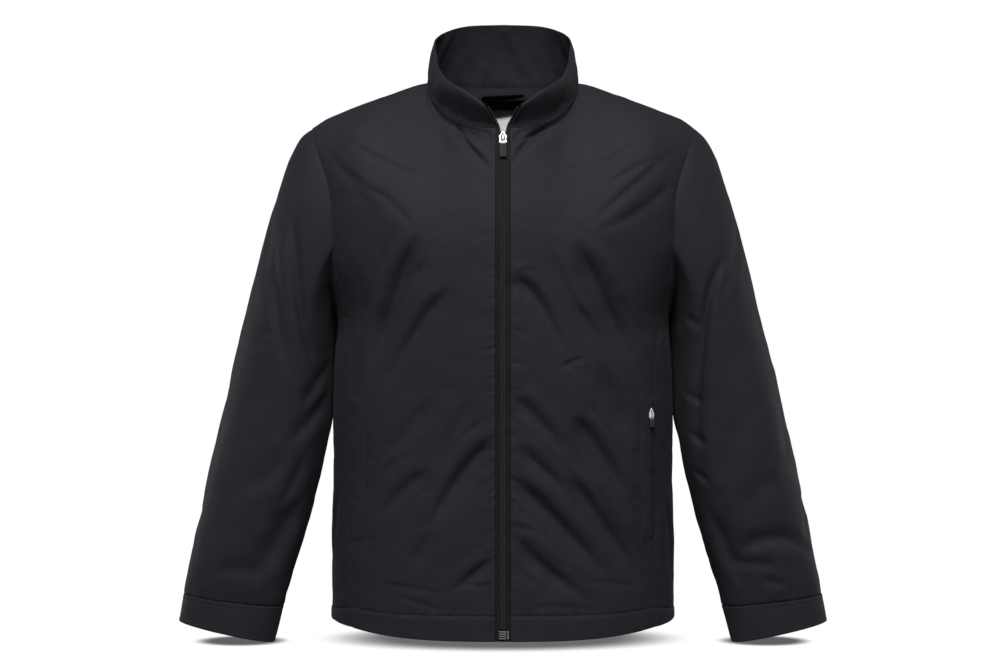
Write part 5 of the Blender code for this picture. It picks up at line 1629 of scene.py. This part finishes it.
def plate(name, place, half, face, thick, material, body=ROOT, columns=9):
    """A small plate with rounded edges. half gives its half width at several heights, and face how far
    out its face lies at points across and up."""
    heights = np.array([row[0] for row in half])
    long = heights[-1] - heights[0]
    fine = np.array((0.0002, 0.0005, 0.0009)) * min(1.0, long / 0.0060)
    v = heights[0] + long * graded(26, long, fine)
    wide = np.interp(v, heights, [row[1] for row in half])
    wide = np.convolve(np.pad(wide, 1, "edge"), (0.25, 0.5, 0.25), "valid")
    fine = np.array((0.0002, 0.0005, 0.0009)) * min(1.0, wide.max() / 0.0030)
    a = wide[:, None] * (2 * graded(columns, 2 * wide.max(), fine) - 1)
    v = np.broadcast_to(v[:, None], a.shape)
    grid = placed(np.stack([a, v, face(a, v) + 0 * a], axis=-1), place)
    direct = np.broadcast_to(place[1][2], grid.shape)
    piece = shell(name, grid, direct, thick, material, body=body)
    return piece


def open_plate(name, place, outer, inner, out, thick, material, body=ROOT):
    """A plate with an opening: rows from its outline to the opening's, columns round them."""
    loops = []
    for half in (outer, inner):
        loop = np.array(half + [(-x, v) for x, v in half[-2:0:-1]] + [half[0]])
        at = np.linspace(0, len(loop) - 1, 6 * (len(loop) - 1) + 1)[:-1]
        loop = sampled(at, np.arange(len(loop)), loop)
        loops.append(0.5 * loop + 0.25 * (np.roll(loop, 1, 0) + np.roll(loop, -1, 0)))
    t = graded(5, 0.0026, (0.0002, 0.0005, 0.0008))[:, None, None]
    flat = loops[0] * (1 - t) + loops[1] * t
    grid = placed(np.concatenate([flat, np.full((*flat.shape[:2], 1), out)], axis=-1), place)
    direct = np.broadcast_to(place[1][2], grid.shape)
    return shell(name, grid, direct, thick, material, closed=True, body=body)


def pull_half(low, top, wide, narrow, corner):
    """The half widths of a pull: it narrows downwards, and its lower corners are quarter circles."""
    v = low + (top - low) * np.concatenate([np.linspace(0, 0.25, 14), np.linspace(0.3, 1, 8)])
    t = np.clip((v - low) / corner, 0, 1)
    half = narrow + (wide - narrow) * (v - low) / (top - low) - corner * (1 - np.sqrt(1 - (1 - t) ** 2))
    return tuple(zip(v, half))


def level(out):
    """A plate's face that lies flat, so far out."""
    return lambda a, v: out


def bridge_arch(a, v):
    """The face of the slider's bridge, which stands up in an arch along the zip."""
    return 0.0014 + 0.0030 * np.sqrt(np.clip(1 - (np.abs(v) / 0.0046) ** 4, 0, 1))


def pull_ribs(a, v):
    """The front pull's face, with grooves along it."""
    return 0.0036 - 0.00045 * (0.5 + 0.5 * np.cos(a * 2 * np.pi / 0.0024)) * (np.abs(a) < 0.0036)


def pull_grooves(a, v):
    """The pocket pull's face, with grooves along it."""
    return 0.0022 - 0.0003 * np.cos(a * 2 * np.pi / 0.0020)


# half outlines of the plates: how far across and up, from the lower end to the upper
SLIDER_OUTLINE = [
    (0.0, -0.0070), (0.0047, -0.0070), (0.0050, -0.0062), (0.0042, -0.0026), (0.0052, 0.0020),
    (0.0048, 0.0034), (0.0022, 0.0066), (0.0013, 0.0088), (0.0, 0.0092),
]
SLIDER_OPENING = [
    (0.0, -0.0036), (0.0018, -0.0036), (0.0023, -0.0030), (0.0022, -0.0010), (0.0023, 0.0012),
    (0.0020, 0.0026), (0.0011, 0.0048), (0.0006, 0.0060), (0.0, 0.0064),
]
RING_OUTLINE = [
    (0.0, -0.0150), (0.0013, -0.0150), (0.0017, -0.0144), (0.0017, -0.0096), (0.0012, -0.0086),
    (0.0, -0.0085),
]
RING_OPENING = [
    (0.0, -0.0144), (0.0008, -0.0144), (0.0011, -0.0140), (0.0011, -0.0098), (0.0008, -0.0091),
    (0.0, -0.0090),
]
POCKET_SLIDER_HALF = (
    (-0.0127, 0.0028), (-0.0119, 0.0032), (-0.0094, 0.0037), (-0.0072, 0.0035), (-0.0034, 0.0021),
    (0.0000, 0.0005),
)


def make_fasteners():
    """The two sliders, their pulls, and the box at the zip's lower end."""
    zip_hanger, pocket_hanger = "zip_pull_hanger", "pocket_pull_hanger"
    middle, axes, size = solid_place("zip_link")
    place = (middle + axes[1] * (size[1] - 0.0011) - axes[2] * 0.0024, axes)
    body = open_plate("slider_body", place, SLIDER_OUTLINE, SLIDER_OPENING, 0.0016, 0.0018, METAL)
    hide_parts("zip_slider")
    half = ((-0.0045, 0.0030), (0.0030, 0.0030), (0.0070, 0.0010))
    # the opening's floor: the black teeth under it, darkened further as painted shade
    plate("slider_inside", place, half, level(0.0001), 0.0007, OPENING_SHADE)
    half = ((-0.0045, 0.0010), (0.0, 0.0009), (0.0045, 0.0008))
    plate("slider_bridge", place, half, bridge_arch, 0.0010, METAL, columns=5)
    plate("slider_back", place, ((-0.0055, 0.0036), (0.0075, 0.0042)), level(-0.0036), 0.0012, METAL)
    half = ((0.0054, 0.0006), (0.0076, 0.0006))
    plate("slider_post", place, half, level(0.0002), 0.0042, METAL, columns=3)
    half = pull_half(-0.0272, -0.0090, 0.0047, 0.0043, 0.0024)
    pull = plate("pull_front", place, half, pull_ribs, 0.0022, MOULDING, zip_hanger, 33)
    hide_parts("zip_pull")

    middle, axes, size = solid_place("pocket_link")
    # it leans a little and faces further forwards than the tape under it
    up = unit(axes[1] - 0.03 * axes[0])
    out = unit(axes[2] - 0.45 * np.cross(up, axes[2]))
    axes = np.stack([np.cross(up, out), up, out])
    place = (middle + axes[1] * (size[1] - 0.0004) - axes[0] * 0.0016 + axes[2] * 0.0008, axes)
    body = plate("pocket_slider_body", place, POCKET_SLIDER_HALF, level(-0.0002), 0.0015, METAL)
    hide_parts("pocket_slider")
    # the pocket slider's holes: dark dots of painted shade
    for k, (x, v) in enumerate(((-0.0003, -0.0042), (0.0003, -0.0072), (0.0004, -0.0101))):
        turns = np.linspace(-1.5, 1.5, 9)
        dot = tuple((v + 0.00095 * math.sin(t), 0.00085 * math.cos(t) + 0.0001) for t in turns)
        dot_place = (place[0] + axes[0] * x, axes)
        plate(f"pocket_slider_hole_{k + 1}", dot_place, dot, level(0.0001), 0.0008, OPENING_SHADE, columns=5)
    half = pull_half(-0.0240, -0.0139, 0.0031, 0.0027, 0.0016)
    # the pocket pull's lighter black is painted light
    pull = plate("pocket_pull_front", place, half, pull_grooves, 0.0018, LIT_POCKET_PULL, pocket_hanger, 17)
    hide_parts("pocket_pull")
    ring = (RING_OUTLINE, RING_OPENING)
    link = open_plate("pocket_link_wire", place, *ring, 0.0005, 0.0007, METAL, pocket_hanger)
    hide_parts("pocket_link")
    # the ring's shank, which lies inside the slider while the pull hangs
    shank = ((-0.0098, 0.0007), (-0.0060, 0.0008), (-0.0012, 0.0007))
    plate("pocket_link_shank", place, shank, level(-0.0005), 0.0008, METAL, pocket_hanger, 5)

    place = solid_place("zip_box")[:2]
    half = ((-0.0058, 0.0066), (0.0058, 0.0066))
    box = plate("box_body", place, half, level(0.0004), 0.0022, MOULDING)
    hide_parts("zip_box")
    # ribs and bars on the box, grey as painted highlight
    for k, v in enumerate((-0.0044, -0.0016, 0.0012, 0.0040)):
        rib_place = (place[0] - place[1][0] * 0.0012, place[1])
        half = ((v, 0.0036), (v + 0.0011, 0.0036))
        plate(f"box_rib_{k + 1}", rib_place, half, level(0.0011), 0.0009, RIB_HIGHLIGHT)
    for k, (x, wide) in enumerate(((0.0028, 0.0005), (0.0062, 0.0008))):
        bar_place = (place[0] + place[1][0] * x, place[1])
        half = ((-0.0046, wide), (0.0053, wide))
        plate(f"box_bar_{k + 1}", bar_place, half, level(0.0011), 0.0009, RIB_HIGHLIGHT, columns=5)
    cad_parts["zip_link"].data.materials.clear()
    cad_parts["zip_link"].data.materials.append(WIRE)


# ---- stage --------------------------------------------------------------------------------------


def make_stage():
    """A white floor with a painted soft shadow under the hem and cuffs, a white surround, and soft lights."""
    mesh = bpy.data.meshes.new("floor")
    reach = 12.0
    corners = [(-reach, -reach), (reach, -reach), (reach, reach), (-reach, reach)]
    mesh.from_pydata([(*corner, FLOOR_Z) for corner in corners], [], [(0, 1, 2, 3)])
    floor = bpy.data.objects.new("floor", mesh)
    bpy.context.scene.collection.objects.link(floor)
    white = Shader("floor_white", (1.0, 1.0, 1.0), 1.0)
    x, y, _ = white.parts(white.place())
    light = None
    # painted shadow: the floor's glow is dimmed in soft ellipses under the hem and cuffs
    for middle_x, middle_y, half_x, half_y, dark in SHADE:
        near = ((x - middle_x) * (1 / half_x)) ** 2 + ((y - middle_y) * (1 / half_y)) ** 2
        near = ((1 - near**0.5) * 2.2).clamped()
        left = 1 - (near * near * (3 - near * 2)) * dark
        light = left if light is None else light * left
    bright = white.node("ShaderNodeEmission", Color=(1.0, 1.0, 1.0, 1.0), Strength=light ** 2.2)
    dim = white.node("ShaderNodeBsdfDiffuse", Color=(FLOOR_BOUNCE, FLOOR_BOUNCE, FLOOR_BOUNCE, 1.0))
    rays, mix = white.node("ShaderNodeLightPath"), white.node("ShaderNodeMixShader")
    for source, target in (
        (rays.outputs["Is Camera Ray"], mix.inputs[0]),
        (dim.outputs[0], mix.inputs[1]),
        (bright.outputs[0], mix.inputs[2]),
        (mix.outputs[0], white.tree.nodes["Material Output"].inputs[0]),
    ):
        white.tree.links.new(source, target)
    floor.data.materials.append(white.material)

    world = bpy.data.worlds.new("surround")
    bpy.context.scene.world = world
    world.use_nodes = True
    nodes, links = world.node_tree.nodes, world.node_tree.links
    shown, lit = nodes["Background"], nodes.new("ShaderNodeBackground")
    shown.inputs[0].default_value = (1.0, 1.0, 1.0, 1.0)
    shown.inputs[1].default_value = 1.0
    lit.inputs[0].default_value = (0.97, 0.98, 1.0, 1.0)
    lit.inputs[1].default_value = SURROUND
    mix, rays = nodes.new("ShaderNodeMixShader"), nodes.new("ShaderNodeLightPath")
    links.new(rays.outputs["Is Camera Ray"], mix.inputs[0])
    links.new(lit.outputs[0], mix.inputs[1])
    links.new(shown.outputs[0], mix.inputs[2])
    links.new(mix.outputs[0], nodes["World Output"].inputs[0])

    for name, at, aim, size, power in LIGHTS:
        light = bpy.data.lights.new(name, "AREA")
        light.shape = "RECTANGLE"
        light.size, light.size_y = size
        light.energy = power
        lamp = bpy.data.objects.new(name, light)
        lamp.location = at
        toward = np.array(aim) - np.array(at)
        lamp.rotation_euler = Matrix(look(toward)).to_euler()
        bpy.context.scene.collection.objects.link(lamp)


def look(toward):
    """The rotation that points -Z along a direction with +Y upwards."""
    back = -unit(np.asarray(toward, float))
    right = unit(np.cross([0.0, 0.0, 1.0], back))
    up = np.cross(back, right)
    return np.stack([right, up, back], axis=1).tolist()


def make_camera():
    """The camera, level and straight in front."""
    data = bpy.data.cameras.new("camera")
    data.lens, data.sensor_width = CAMERA_LENS, SENSOR
    data.clip_start, data.clip_end = 0.01, 50.0
    camera = bpy.data.objects.new("camera", data)
    camera.location = CAMERA_AT
    camera.rotation_euler = (math.pi / 2, 0.0, 0.0)
    bpy.context.scene.collection.objects.link(camera)
    bpy.context.scene.camera = camera


def main():
    make_camera()
    make_stage()
    make_fronts()
    make_back()
    make_sides()
    make_sleeves()
    make_collar()
    make_zip()
    make_welts()
    make_labels()
    make_fasteners()
    make_stitches()
    scene = bpy.context.scene
    scene.view_settings.view_transform = "Standard"
    scene.view_settings.look = "None"


main()
